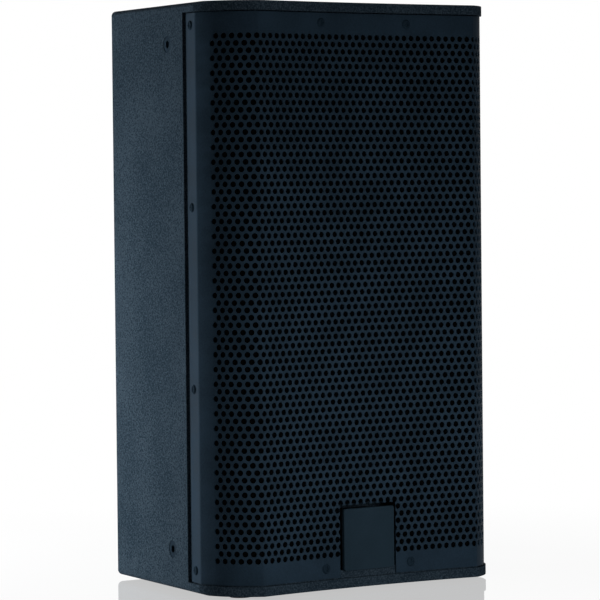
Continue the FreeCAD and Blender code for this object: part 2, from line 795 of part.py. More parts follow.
def woofer_basket():
    f = woofer_flange
    seat = spider_depth + spider_thickness
    wall_out = woofer_cutout - 1
    profile = [(woofer_radius, 0), (woofer_radius, f), (wall_out, f),
               (spider_radius + spider_shelf + 1 + basket_wall, seat + basket_hub),
               (top_plate_radius + 5, motor_depth),
               (coil_radius + basket_hub, motor_depth), (coil_radius + basket_hub, motor_depth - basket_hub),
               (top_plate_radius, motor_depth - basket_hub), (spider_radius - 2, seat),
               (spider_radius + spider_shelf, seat), (surround_outer - surround_lip, f + 1),
               (surround_outer - surround_lip, 0)]
    shape = turned(profile, woofer_z, woofer_y)
    tag_z = woofer_z + tag_height - 1
    boss = box(-tag_half_pitch - tag_boss, tag_half_pitch + tag_boss, woofer_y + seat + 2,
               woofer_y + motor_depth, tag_z - tag_boss, tag_z + tag_boss)
    shape = joined([shape, boss])
    for n in range(basket_windows):
        start = math.pi / 2 + n * 2 * math.pi / basket_windows
        spread = math.radians(basket_window_spread)
        window = []
        near, far = spider_radius + basket_window_inner, wall_out - basket_window_margin
        for radius, angle in ((near, start - spread), (far, start - spread),
                              (far, start + spread), (near, start + spread)):
            window.append(V(radius * math.cos(angle), woofer_y + f + 2,
                            woofer_z + radius * math.sin(angle)))
        face = Part.Face(Part.makePolygon(window + [window[0]]))
        shape = shape.cut(face.extrude(V(0, seat, 0)))
    for x, z in woofer_screw_places():
        shape = shape.cut(rod_y(woofer_screw_radius + hole_clearance, woofer_y - over, baffle_y + over,
                                x, z))
    return shape


def woofer_gasket():
    return tube_y(woofer_screw_circle - woofer_head_radius - 2 * curve_gap, surround_outer + curve_gap,
                  woofer_y - gasket_thickness, woofer_y, 0, woofer_z)


def woofer_surround():
    # Two flat lips with a half roll between them.
    t = surround_thickness
    roll_in = surround_inner
    roll_out = surround_outer - surround_lip
    mid = (roll_in + roll_out) / 2
    outer_r = (roll_out - roll_in) / 2
    y = woofer_y
    z = woofer_z

    def point(r, depth):
        return V(r, y + depth, z)

    lip = surround_inner - surround_lip
    edges = [Part.makeLine(point(lip, 0), point(roll_in + t, 0)),
             Part.Arc(point(roll_in + t, 0), point(mid, -outer_r + t), point(roll_out - t, 0)).toShape(),
             Part.makeLine(point(roll_out - t, 0), point(surround_outer, 0)),
             Part.makeLine(point(surround_outer, 0), point(surround_outer, -t)),
             Part.makeLine(point(surround_outer, -t), point(roll_out, -t)),
             Part.Arc(point(roll_out, -t), point(mid, -outer_r - t), point(roll_in, -t)).toShape(),
             Part.makeLine(point(roll_in, -t), point(lip, -t)),
             Part.makeLine(point(lip, -t), point(lip, 0))]
    face = Part.Face(Part.Wire(edges))
    return face.revolve(V(0, 0, z), V(0, 1, 0), 360)


def cone_depth_at(radius):
    # Depth of the cone's front face behind the woofer flange.
    edge = surround_inner - surround_lip
    return cone_depth * (edge - radius) / (edge - coil_radius) + cone_thickness


def woofer_cone():
    edge = surround_inner - surround_lip
    t = cone_thickness
    lip = surround_inner - 0.5
    back = t * 1.2
    profile = [(lip, 0.05), (lip, 0.05 + t), (edge, cone_depth_at(edge) + back),
               (coil_radius + curve_gap, cone_depth_at(coil_radius) + back),
               (coil_radius + curve_gap, cone_depth_at(coil_radius)),
               (edge - t, cone_depth_at(edge - t)), (edge, 0.05)]
    return turned(profile, woofer_z, woofer_y)


def woofer_dust_cap():
    base = cone_depth_at(cap_radius) - 0.1
    top = base - cap_height
    t = cap_thickness
    z = woofer_z
    y = woofer_y
    half = cap_radius * cap_shoulder
    rise = cap_height * cap_shoulder

    def point(r, depth):
        return V(r, y + depth, z)

    edges = [Part.Arc(point(cap_radius, base), point(half, base - rise), point(t, top)).toShape(),
             Part.makeLine(point(t, top), point(0, top)),
             Part.makeLine(point(0, top), point(0, top + t)),
             Part.makeLine(point(0, top + t), point(t, top + t)),
             Part.Arc(point(t, top + t), point(half - t / 2, base - rise + t),
                      point(cap_radius - t, base)).toShape(),
             Part.makeLine(point(cap_radius - t, base), point(cap_radius, base))]
    face = Part.Face(Part.Wire(edges))
    return face.revolve(V(0, 0, z), V(0, 1, 0), 360)


def woofer_spider():
    # A corrugated disc: three ridges between the former and the basket's shelf.
    inner = coil_radius + coil_wall + curve_gap
    first = inner + spider_flat
    last = spider_radius - 1
    step = (last - first) / spider_ridges
    front = [(inner, -curve_gap), (first, -curve_gap)]
    for n in range(1, spider_ridges):
        front.append((first + n * step, -spider_ridge if n % 2 else spider_valley))
    front += [(last, 0.0), (spider_radius + spider_shelf - 2, 0.0)]
    back = [(r, depth + spider_thickness) for r, depth in reversed(front)]
    return turned(front + back, woofer_z, woofer_y + spider_depth)


def woofer_voice_coil():
    start = cone_depth_at(coil_radius)
    end = motor_depth + top_plate_thickness / 2 + coil_length / 2
    former = tube_y(coil_radius, coil_radius - coil_wall, woofer_y + start, woofer_y + end, 0, woofer_z)
    winding = tube_y(coil_radius + coil_winding, coil_radius, woofer_y + end - coil_length,
                     woofer_y + end, 0, woofer_z)
    return joined([former, winding])


def woofer_motor():
    y = woofer_y + motor_depth
    plate = tube_y(top_plate_radius, coil_radius + coil_winding + gap_clearance, y,
                   y + top_plate_thickness, 0, woofer_z)
    magnet = tube_y(magnet_radius, magnet_bore, y + top_plate_thickness,
                    y + top_plate_thickness + magnet_thickness, 0, woofer_z)
    back = y + top_plate_thickness + magnet_thickness
    yoke = rod_y(yoke_radius, back, back + yoke_thickness, 0, woofer_z)
    pole = rod_y(coil_radius - coil_wall - gap_clearance, y, back + weld, 0, woofer_z)
    yoke = joined([yoke, pole]).cut(rod_y(yoke_vent, y - over, back + yoke_thickness + over, 0, woofer_z))
    return plate, magnet, yoke


def woofer_tag_strip():
    # Insulated strip on the basket's boss, with two solder tags.
    y = woofer_y + motor_depth
    z = woofer_z + tag_height
    half = tag_half_pitch + tag_plate_end
    plate = box(-half, half, y, y + tag_plate, z - tag_plate_half_height, z + tag_plate_half_height)
    tags = [box(x - tag_half_width, x + tag_half_width, y + tag_plate, y + tag_plate + tag_length,
                z - tag_half_thickness, z + tag_half_thickness)
            for x in (-tag_half_pitch, tag_half_pitch)]
    return joined([plate] + tags)


def woofer_screws_group():
    screw = pan_screw(woofer_screw_radius, woofer_head_radius, woofer_head, woofer_screw_length)
    return group([placed(screw, x, woofer_y, z) for x, z in woofer_screw_places()])


def horn():
    y0 = baffle_y - horn_flange
    flange = rounded_block(horn_width, horn_height, horn_corner, 0, horn_z, y0, baffle_y)
    inner, outer = [], []
    length = horn_length + horn_flange
    for n in range(horn_sections):
        t = n / (horn_sections - 1)
        flare = (1 - t) ** horn_flare
        width = 2 * throat_radius + (mouth_width - 2 * throat_radius) * flare
        height = 2 * throat_radius + (mouth_height - 2 * throat_radius) * flare
        corner = min(mouth_corner * (1 - t) + (throat_radius - 0.05) * t, height / 2 - 0.05)
        y = y0 + length * t
        inner.append(rounded_wire(width, height, corner, 0, y, horn_z))
        outer.append(rounded_wire(width + 2 * horn_wall, height + 2 * horn_wall, corner + horn_wall, 0, y,
                                  horn_z))
    shell = Part.makeLoft(outer, True)
    bore = Part.makeLoft(inner, True)
    seat = rod_y(horn_seat_radius, driver_y - horn_seat_thickness, driver_y, 0, horn_z)
    shape = joined([flange, shell, seat]).cut(bore)
    for x, z in horn_screw_places():
        shape = shape.cut(rod_y(horn_screw_radius + hole_clearance, y0 - over, baffle_y + over, x, z))
    for x, z in driver_bolt_places():
        shape = shape.cut(rod_y(driver_bolt_radius + hole_clearance,
                                driver_y - horn_seat_thickness - over, driver_y + over, x, z))
    return shape


def driver_bolt_places():
    angles = [math.pi / 2 + n * 2 * math.pi / driver_bolts for n in range(driver_bolts)]
    return [(driver_bolt_circle * math.cos(a), horn_z + driver_bolt_circle * math.sin(a)) for a in angles]


def driver_pole():
    # Front plate and pole in one, with the exit bore and a phase plug on three ribs.
    pole_radius = driver_coil_radius - driver_coil_wall - driver_gap
    end = driver_y + driver_plate + driver_magnet_thickness + driver_top_plate
    plate = rod_y(driver_radius, driver_y, driver_y + driver_plate, 0, horn_z)
    pole = rod_y(pole_radius, driver_y, end, 0, horn_z)
    bore = Part.makeCone(throat_radius, pole_radius - plug_wall_gap, end - driver_y, V(0, driver_y, horn_z),
                         V(0, 1, 0))
    plug = Part.makeCone(plug_tip_radius, pole_radius - 2 * plug_wall_gap, end - driver_y - plug_setback,
                         V(0, driver_y + plug_setback, horn_z), V(0, 1, 0))
    webs = []
    for n in range(ribs):
        web = box(0, pole_radius - weld, driver_y + 2 * driver_plate, end - 2, horn_z - rib_thickness / 2,
                  horn_z + rib_thickness / 2)
        web.rotate(V(0, 0, horn_z), V(0, 1, 0), 90 + n * 360 / ribs)
        webs.append(web)
    shape = joined([plate, pole]).cut(bore)
    shape = joined([shape, plug] + webs)
    for x, z in driver_bolt_places():
        shape = shape.cut(rod_y(driver_bolt_radius + thread_gap, driver_y - over,
                                driver_y + driver_plate - driver_bolt_floor, x, z))
    return shape


def driver_stack():
    y = driver_y + driver_plate
    magnet = tube_y(driver_magnet_outer, driver_magnet_inner, y, y + driver_magnet_thickness, 0, horn_z)
    y += driver_magnet_thickness
    plate = tube_y(driver_radius, driver_coil_radius + driver_gap, y, y + driver_top_plate, 0, horn_z)
    return magnet, plate


def driver_diaphragm():
    # Dome with a flat rim and its coil former; the rim clears the seat ring of the cap.
    y = driver_y + driver_plate + driver_magnet_thickness
    rim = y + driver_top_plate + diaphragm_lift
    r = driver_coil_radius
    t = driver_coil_wall
    h = driver_dome_height

    def point(radius, depth):
        return V(radius, rim + depth, horn_z)

    across, rise = r * dome_shoulder[0], h * dome_shoulder[1]
    edges = [Part.makeLine(point(r + diaphragm_rim, 0), point(r - 1, 0)),
             Part.Arc(point(r - 1, 0), point(across, rise), point(t, h)).toShape(),
             Part.makeLine(point(t, h), point(0, h)),
             Part.makeLine(point(0, h), point(0, h + t)),
             Part.makeLine(point(0, h + t), point(t, h + t)),
             Part.Arc(point(t, h + t), point(across + t / 2, rise + t), point(r - 1 + t, t)).toShape(),
             Part.makeLine(point(r - 1 + t, t), point(r + diaphragm_rim, t)),
             Part.makeLine(point(r + diaphragm_rim, t), point(r + diaphragm_rim, 0))]
    dome = Part.Face(Part.Wire(edges)).revolve(V(0, 0, horn_z), V(0, 1, 0), 360)
    former = tube_y(r, r - t, y + 2, rim + t / 2, 0, horn_z)
    return joined([dome, former])


def driver_cap():
    y = driver_y + driver_plate + driver_magnet_thickness + driver_top_plate
    shell = rod_y(driver_radius - driver_cap_setback, y, y + driver_cap_depth, 0, horn_z)
    rim = [e for e in shell.Edges if len(e.Vertexes) == 1 and e.CenterOfMass.y > y + driver_cap_seat]
    shell = shell.makeFillet(driver_cap_round, rim)
    shell = shell.cut(rod_y(driver_coil_radius + diaphragm_rim + curve_gap, y - over,
                            y + driver_cap_seat, 0, horn_z))
    inner = driver_radius - driver_cap_setback - driver_cap_wall
    return shell.cut(rod_y(inner, y + driver_cap_seat, y + driver_cap_depth - driver_cap_wall, 0, horn_z))


def driver_bolts_group():
    y = driver_y - horn_seat_thickness
    length = horn_seat_thickness + driver_plate - 2 * driver_bolt_floor
    bolt = rod_y(driver_bolt_radius, 0, length, 0, 0)
    head = rod_y(driver_bolt_head_radius, -driver_bolt_head, 0, 0, 0)
    bolt = joined([bolt, head])
    return group([placed(bolt, x, y, z) for x, z in driver_bolt_places()])


def port_tube(side):
    x = side * port_half_pitch
    z = floor_z + port_height
    outer = port_bore + port_wall
    tube = rod_y(outer, baffle_y - port_flange_thickness, baffle_y + port_length, x, z)
    flange = rod_y(outer + port_flange, baffle_y - port_flange_thickness, baffle_y, x, z)
    bore = rod_y(port_bore, baffle_y - port_flange_thickness - over, baffle_y + port_length + over, x, z)
    return joined([tube, flange]).cut(bore)


def standoff_places():
    return border_places(crossover_width, crossover_height, crossover_z, standoff_inset)


def crossover_parts():
    z = crossover_z
    y1 = crossover_y + crossover_thickness
    plate = box(-crossover_width / 2, crossover_width / 2, crossover_y, y1,
                z - crossover_height / 2, z + crossover_height / 2)
    spacers = []
    for x, sz in standoff_places():
        plate = plate.cut(rod_y(panel_screw_radius + hole_clearance, crossover_y - over, y1 + over, x, sz))
        sleeve = tube_y(standoff_radius, panel_screw_radius + thread_gap, y1, inner_back, x, sz)
        screw = pan_screw(panel_screw_radius, standoff_head_radius, standoff_head,
                          crossover_thickness + crossover_standoff + standoff_bite)
        spacers += [sleeve, placed(screw, x, crossover_y, sz)]
    coils = [tube_y(outer, inner, crossover_y - length, crossover_y, x, z + dz)
             for x, dz, outer, inner, length in coil_sizes]
    cans = [rod_z(radius, z + dz - length / 2, z + dz + length / 2, x, crossover_y - radius)
            for x, dz, radius, length in capacitor_sizes]
    blocks = [box(x - width / 2, x + width / 2, crossover_y - width, crossover_y,
                  z + dz - length / 2, z + dz + length / 2)
              for x, dz, width, length in resistor_sizes]
    return plate, group(spacers), group(coils), group(cans), group(blocks)


def rear_dish(width, height, z, depth):
    # Moulded dish let into the back panel, with its flange flush with the back face.
    flange = rounded_block(width, height, dish_corner, 0, z, back_y - dish_wall, back_y)
    w = width - 2 * dish_border
    h = height - 2 * dish_border
    body = rounded_block(w, h, dish_corner, 0, z, back_y - depth - dish_wall, back_y)
    hollow = rounded_block(w - 2 * dish_wall, h - 2 * dish_wall, dish_corner - dish_wall, 0, z,
                           back_y - depth, back_y + over)
    shape = joined([flange, body]).cut(hollow)
    for x, sz in border_places(width, height, z, dish_border / 2):
        bore = panel_screw_radius + hole_clearance
        shape = shape.cut(rod_y(bore, back_y - dish_wall - over, back_y + over, x, sz))
        cone = Part.makeCone(bore, panel_head_radius + sink_clearance, sink_depth,
                             V(x, back_y - sink_depth, sz), V(0, 1, 0))
        shape = shape.cut(cone)
    return shape


def socket_places():
    return [(side * socket_half_pitch, dish_z + socket_offset) for side in (-1, 1)]


def input_dish():
    shape = rear_dish(dish_width, dish_height, dish_z, dish_depth)
    for x, z in socket_places():
        shape = shape.cut(rod_y(socket_radius + curve_gap, dish_floor - dish_wall - over,
                                dish_floor + over, x, z))
    return shape


def twist_lock_socket(x, z):
    flange = rounded_block(socket_flange_width, socket_flange_height, socket_corner, x, z, dish_floor,
                           dish_floor + socket_flange_thickness)
    body = rod_y(socket_radius, dish_floor - socket_back, dish_floor + socket_front, x, z)
    hollow = rod_y(socket_bore, dish_floor - socket_back + socket_floor,
                   dish_floor + socket_front + over, x, z)
    core = rod_y(socket_core, dish_floor - socket_back, dish_floor + socket_front - core_setback, x, z)
    shape = joined([joined([flange, body]).cut(hollow), core])
    thick, width = socket_tab_thickness, socket_tab_width
    for n in range(socket_tabs):
        tab = box(-thick / 2, thick / 2, -socket_tab_length, 0, -width / 2, width / 2)
        tab.translate(V(0, 0, socket_bore - width / 2))
        tab.rotate(V(0, 0, 0), V(0, 1, 0), 45 + 360 / socket_tabs * n)
        tab.translate(V(x, dish_floor - socket_back + thick / 2, z))
        shape = shape.fuse(tab)
    return shape


def barrier_strip():
    z = dish_z - strip_offset
    base = box(-strip_width / 2, strip_width / 2, dish_floor, dish_floor + strip_thickness,
               z - strip_height / 2, z + strip_height / 2)
    pitch = strip_width / strip_ways
    for n in range(strip_ways):
        x0 = -strip_width / 2 + n * pitch + strip_rib
        x1 = -strip_width / 2 + (n + 1) * pitch - strip_rib
        base = base.cut(box(x0, x1, dish_floor + strip_trough, dish_floor + strip_thickness + over,
                            z - strip_height, z + strip_height))
    screws = []
    for n in range(strip_ways):
        x = -strip_width / 2 + (n + 0.5) * pitch
        base = base.cut(rod_y(strip_screw_radius + thread_gap, dish_floor + hole_spare,
                              dish_floor + strip_trough + over, x, z))
        screw = pan_screw(strip_screw_radius, strip_head_radius, strip_head, strip_trough - 1.0)
        screws.append(placed(screw, x, dish_floor + strip_trough, z, 180))
    return base, screws


def back_facing_screw(x, z, y, radius, head_radius, length):
    # A countersunk screw whose head is flush at depth y and whose shank runs to the front.
    head = Part.makeCone(radius, head_radius, sunk_head, V(x, y - sunk_head, z), V(0, 1, 0))
    shank = rod_y(radius, y - length, y - sunk_head + 0.1, x, z)
    slot = head_radius * sunk_recess_half
    floor = y - sunk_recess_depth
    cross = box(x - slot, x + slot, floor, y + over, z - slot / 4, z + slot / 4)
    cross = cross.fuse(box(x - slot / 4, x + slot / 4, floor, y + over, z - slot, z + slot))
    return joined([head, shank]).cut(cross)


def rear_handle():
    shape = rear_dish(handle_width, handle_height, handle_z, handle_depth)
    half = handle_width / 2 - dish_border - 1
    centre_y = back_y - handle_grip_setback - handle_grip_radius
    grip = Part.makeCylinder(handle_grip_radius, 2 * half, V(-half, centre_y, handle_z), V(1, 0, 0))
    return joined([shape, grip])


def suspension_inserts():
    inserts = []
    for side in (-1, 1):
        for z in suspension_heights:
            body = side_rod(insert_radius, side, suspension_y, z, plug_head, side_thickness)
            flange = side_rod(insert_flange_radius, side, suspension_y, z, side_thickness,
                              side_thickness + insert_flange)
            bore = side_rod(insert_bore, side, suspension_y, z, -over, side_thickness + insert_flange + over)
            inserts.append(joined([body, flange]).cut(bore))
    return group(inserts)


def rear_insert():
    body = rod_y(insert_radius, inner_back, back_y - 0.5, 0, rear_point_height)
    flange = rod_y(insert_flange_radius, inner_back - insert_flange, inner_back, 0, rear_point_height)
    bore = rod_y(insert_bore, inner_back - insert_flange - over, back_y + over, 0, rear_point_height)
    return joined([body, flange]).cut(bore)


def plug_screws():
    plugs = []
    for side in (-1, 1):
        for z in suspension_heights:
            head = side_rod(plug_head_radius, side, suspension_y, z, 0.3, plug_head)
            shank = side_rod(plug_radius, side, suspension_y, z, plug_head, plug_length)
            point, inward = side_axis(side, suspension_y, z)
            across = V(0, 0, 1)
            along = inward.cross(across)
            corners = []
            for n in range(7):
                a = n * math.pi / 3
                r = plug_hex / math.sqrt(3)
                corners.append(point + across * (r * math.cos(a)) + along * (r * math.sin(a)))
            key = Part.Face(Part.makePolygon(corners)).extrude(inward * plug_hex_depth)
            plugs.append(joined([head, shank]).cut(key))
    return group(plugs)


def pole_socket():
    flange = rod_z(pole_flange_radius, floor_z, floor_z + pole_flange, 0, 0)
    outer = socket_pole_bore + pole_cup_wall
    cup = rod_z(outer, floor_z, floor_z + pole_cup_depth + pole_cup_wall, 0, 0)
    bore = rod_z(socket_pole_bore, floor_z - over, floor_z + pole_cup_depth, 0, 0)
    shape = joined([flange, cup]).cut(bore)
    for x, y in pole_screw_places():
        bore = wood_screw_radius + hole_clearance
        shape = shape.cut(rod_z(bore, floor_z - over, floor_z + pole_flange + over, x, y))
        sink = Part.makeCone(wood_screw_head + sink_clearance, bore, sink_depth,
                             V(x, y, floor_z), V(0, 0, 1))
        shape = shape.cut(sink)
    return shape


def up_screw(x, y, z, length):
    # A countersunk wood screw that points up, its head's face at height z.
    head = Part.makeCone(wood_screw_head, wood_screw_radius, sunk_head, V(x, y, z), V(0, 0, 1))
    shank = rod_z(wood_screw_radius, z + sunk_head - 0.1, z + length, x, y)
    return joined([head, shank])


def feet():
    shapes = []
    for x, y in foot_places():
        foot = Part.makeCone(foot_radius - 1, foot_radius, foot_height, V(x, y, 0), V(0, 0, 1))
        bore = wood_screw_radius + foot_hole_clearance
        foot = foot.cut(rod_z(wood_screw_head + foot_sink_clearance, -over, foot_screw_seat, x, y))
        sink = Part.makeCone(wood_screw_head + sink_clearance, bore, sink_depth + foot_hole_clearance,
                             V(x, y, foot_screw_seat - foot_hole_clearance), V(0, 0, 1))
        shapes.append(foot.cut(sink).cut(rod_z(bore, 0, foot_height + over, x, y)))
    return group(shapes)


def lining():
    pads = []
    z0 = floor_z + port_height + port_bore + port_wall + port_flange + lining_gap
    z1 = brace_z - lining_gap
    y0 = baffle_back + lining_gap
    y1 = inner_back - lining_gap
    for side in (-1, 1):
        corners = [(side_x(y0, side_thickness), y0), (side_x(y1, side_thickness), y1),
                   (side_x(y1, side_thickness + lining_thickness), y1),
                   (side_x(y0, side_thickness + lining_thickness), y0)]
        points = [V(side * x, y, z0) for x, y in corners]
        pads.append(Part.Face(Part.makePolygon(points + [points[0]])).extrude(V(0, 0, z1 - z0)))
    return group(pads)


def lead(start, end, depths, free_points):
    # A cable along straight runs that are joined by tangent arcs.
    first = (start[0], depths[0], start[2])
    last = (end[0], depths[1], end[2])
    points = [V(*p) for p in (start, first, *free_points, last, end)]
    pieces = []
    start = points[0]
    for before, corner, after in zip(points, points[1:], points[2:]):
        d1 = (corner - before).normalize()
        d2 = (after - corner).normalize()
        turn = d1.getAngle(d2)
        reach = 0.45 * min((corner - before).Length, (after - corner).Length)
        bend = reach / math.tan(turn / 2)
        print("  bend radius", round(bend, 1))
        p1 = corner - d1 * reach
        pieces.append(Part.makeCylinder(lead_radius, (p1 - start).Length, start, d1))
        axis = d1.cross(d2).normalize()
        centre = p1 + axis.cross(d1) * bend
        disc = Part.Face(Part.Wire(Part.makeCircle(lead_radius, p1, d1)))
        pieces.append(disc.revolve(centre, axis, math.degrees(turn)))
        start = corner + d2 * reach
    last = points[-1] - start
    pieces.append(Part.makeCylinder(lead_radius, last.Length, start, last))
    return joined(pieces)


os.makedirs("parts", exist_ok=True)
export("top_board", top_board())
export("bottom_board", bottom_board())
export("left_side_panel", side_panel(-1))
export("right_side_panel", side_panel(1))
export("back_panel", back_panel())
export("front_baffle", front_baffle())
export("shelf_brace", shelf_brace())
export("grille_cleat_top", grille_cleat(inner_top - cleat_height, inner_top, False))
export("grille_cleat_bottom", grille_cleat(inner_bottom, inner_bottom + cleat_height, True))
export("grille", grille())
export("grille_foam", grille_foam())
side_screws, front_screws = grille_screws()
export("grille_flange_screws", side_screws)
export("grille_front_screws", front_screws)
export("badge_post", badge_post())
export("badge_plate", badge_plate())
export("woofer_basket", woofer_basket())
export("woofer_gasket", woofer_gasket())
export("woofer_surround", woofer_surround())
export("woofer_cone", woofer_cone())
export("woofer_dust_cap", woofer_dust_cap())
export("woofer_spider", woofer_spider())
export("woofer_voice_coil", woofer_voice_coil())
top_plate, magnet, yoke = woofer_motor()
export("woofer_top_plate", top_plate)
export("woofer_magnet", magnet)
export("woofer_yoke", yoke)
export("woofer_tag_strip", woofer_tag_strip())
export("woofer_screws", woofer_screws_group())
export("horn", horn())
horn_screw = pan_screw(horn_screw_radius, horn_head_radius, horn_head, horn_screw_length)
export("horn_screws", group([placed(horn_screw, x, baffle_y - horn_flange, z)
                             for x, z in horn_screw_places()]))
export("driver_pole", driver_pole())
driver_magnet, driver_plate_ring = driver_stack()
export("driver_magnet", driver_magnet)
export("driver_top_plate", driver_plate_ring)
export("driver_diaphragm", driver_diaphragm())
export("driver_rear_cap", driver_cap())
export("driver_bolts", driver_bolts_group())
export("port_tube_left", port_tube(-1))
export("port_tube_right", port_tube(1))
board_plate, spacers, coils, cans, blocks = crossover_parts()
export("crossover_board", board_plate)
export("crossover_standoffs", spacers)
export("crossover_coils", coils)
export("crossover_capacitors", cans)
export("crossover_resistors", blocks)
export("input_dish", input_dish())
for name, (x, z) in zip(("twist_lock_socket_left", "twist_lock_socket_right"), socket_places()):
    export(name, twist_lock_socket(x, z))
strip, strip_screws = barrier_strip()
export("barrier_strip", strip)
export("barrier_screws", group(strip_screws))
export("rear_handle", rear_handle())
panel_places = border_places(dish_width, dish_height, dish_z, dish_border / 2)
panel_places += border_places(handle_width, handle_height, handle_z, dish_border / 2)
export("rear_panel_screws", group([back_facing_screw(x, z, back_y, panel_screw_radius, panel_head_radius,
                                                     panel_screw_length) for x, z in panel_places]))
export("suspension_inserts", suspension_inserts())
export("rear_suspension_insert", rear_insert())
export("suspension_plugs", plug_screws())
export("pole_socket", pole_socket())
export("feet", feet())
base_screws = [up_screw(x, y, floor_z, foot_screw_length) for x, y in pole_screw_places()]
base_screws += [up_screw(x, y, foot_screw_seat, foot_screw_length) for x, y in foot_places()]
export("base_screws", group(base_screws))
export("lining", lining())
board_edge = crossover_height / 2 - 4.0
woofer_tag = (tag_half_pitch, woofer_y + motor_depth + tag_plate + tag_length, woofer_z + tag_height)
export("woofer_lead", lead(woofer_tag, (18.0, crossover_y, crossover_z + board_edge), woofer_lead_depths,
                           woofer_lead_points))
driver_back = driver_y + driver_plate + driver_magnet_thickness + driver_top_plate + driver_cap_depth
export("driver_lead", lead((-15.0, crossover_y, crossover_z + board_edge), (0.0, driver_back, horn_z - 14.0),
                           driver_lead_depths, driver_lead_points))
socket_back_end = (-socket_half_pitch, dish_floor - socket_back, dish_z + socket_offset)
export("input_lead", lead(socket_back_end, (-10.0, crossover_y, crossover_z - board_edge),
                          input_lead_depths, input_lead_points))
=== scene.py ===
import json
import math

import bmesh
import bpy
import numpy as np
from mathutils import Matrix, Vector, noise


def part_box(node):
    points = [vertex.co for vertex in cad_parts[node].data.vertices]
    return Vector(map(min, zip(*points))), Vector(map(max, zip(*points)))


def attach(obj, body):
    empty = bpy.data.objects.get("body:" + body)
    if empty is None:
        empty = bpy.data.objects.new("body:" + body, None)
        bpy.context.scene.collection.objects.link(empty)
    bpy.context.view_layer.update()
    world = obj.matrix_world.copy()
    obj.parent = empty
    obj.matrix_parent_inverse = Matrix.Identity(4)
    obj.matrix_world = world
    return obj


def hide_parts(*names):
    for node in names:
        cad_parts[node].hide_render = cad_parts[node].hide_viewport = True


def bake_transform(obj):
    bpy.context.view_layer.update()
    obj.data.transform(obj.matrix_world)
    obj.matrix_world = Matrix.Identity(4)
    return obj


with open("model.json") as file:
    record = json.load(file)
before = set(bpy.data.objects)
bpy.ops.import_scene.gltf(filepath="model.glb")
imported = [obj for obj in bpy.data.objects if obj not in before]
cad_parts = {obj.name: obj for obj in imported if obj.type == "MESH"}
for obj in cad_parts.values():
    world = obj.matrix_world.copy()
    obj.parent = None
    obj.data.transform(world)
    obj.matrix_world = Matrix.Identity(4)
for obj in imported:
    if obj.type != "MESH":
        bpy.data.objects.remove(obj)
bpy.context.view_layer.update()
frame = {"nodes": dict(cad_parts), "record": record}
mm = 0.001

print("camera")
cameraView = {
    "place": (-1.6986, -2.4230, 0.3438),
    "target": (-0.0671, -0.1013, 0.2449),
    "roll": -0.567,           # degrees
    "lens": 206.3,            # millimetres on a 36 mm sensor
    "sensor": 36.0,
}


def addCamera(values):
    data = bpy.data.cameras.new("camera")
    data.sensor_width = values["sensor"]
    data.lens = values["lens"]
    data.clip_end = 50
    camera = bpy.data.objects.new("camera", data)
    bpy.context.collection.objects.link(camera)
    camera.location = values["place"]
    sight = Vector(values["target"]) - Vector(values["place"])
    roll = Matrix.Rotation(math.radians(values["roll"]), 3, "Z")
    camera.rotation_euler = (sight.to_track_quat("-Z", "Y").to_matrix() @ roll).to_euler()
    bpy.context.scene.camera = camera


addCamera(cameraView)


def hexColour(text):
    # sRGB hex to linear.
    levels = [int(text[n:n + 2], 16) / 255 for n in (1, 3, 5)]
    return [v / 12.92 if v <= 0.04045 else ((v + 0.055) / 1.055) ** 2.4 for v in levels] + [1.0]


def addNode(tree, kind, settings=(), links=()):
    # Number keys and socket names set inputs, and other names set the node's own options.
    node = tree.nodes.new(kind)
    for key, value in dict(settings).items():
        if isinstance(key, int) or key in node.inputs:
            node.inputs[key].default_value = value
        else:
            setattr(node, key, value)
    for key, source in dict(links).items():
        tree.links.new(source, node.inputs[key])
    return node


def startMaterial(name, look):
    # Constant looks go straight onto the shader's own sockets.
    material = bpy.data.materials.new(name)
    material.use_nodes = True
    tree = material.node_tree
    shader = tree.nodes["Principled BSDF"]
    for socket, value in look.items():
        shader.inputs[socket].default_value = value
    place = addNode(tree, "ShaderNodeTexCoord").outputs["Object"]
    return material, tree, shader, place


def colourBetween(tree, amount, first, second):
    mix = addNode(tree, "ShaderNodeMix", {"data_type": "RGBA", 6: hexColour(first), 7: hexColour(second)},
                  {0: amount})
    return mix.outputs[2]


def spread(tree, source, low, high, fromLow=0.3, fromHigh=0.7):
    settings = {"From Min": fromLow, "From Max": fromHigh, "To Min": low, "To Max": high}
    return addNode(tree, "ShaderNodeMapRange", settings, {"Value": source}).outputs["Result"]


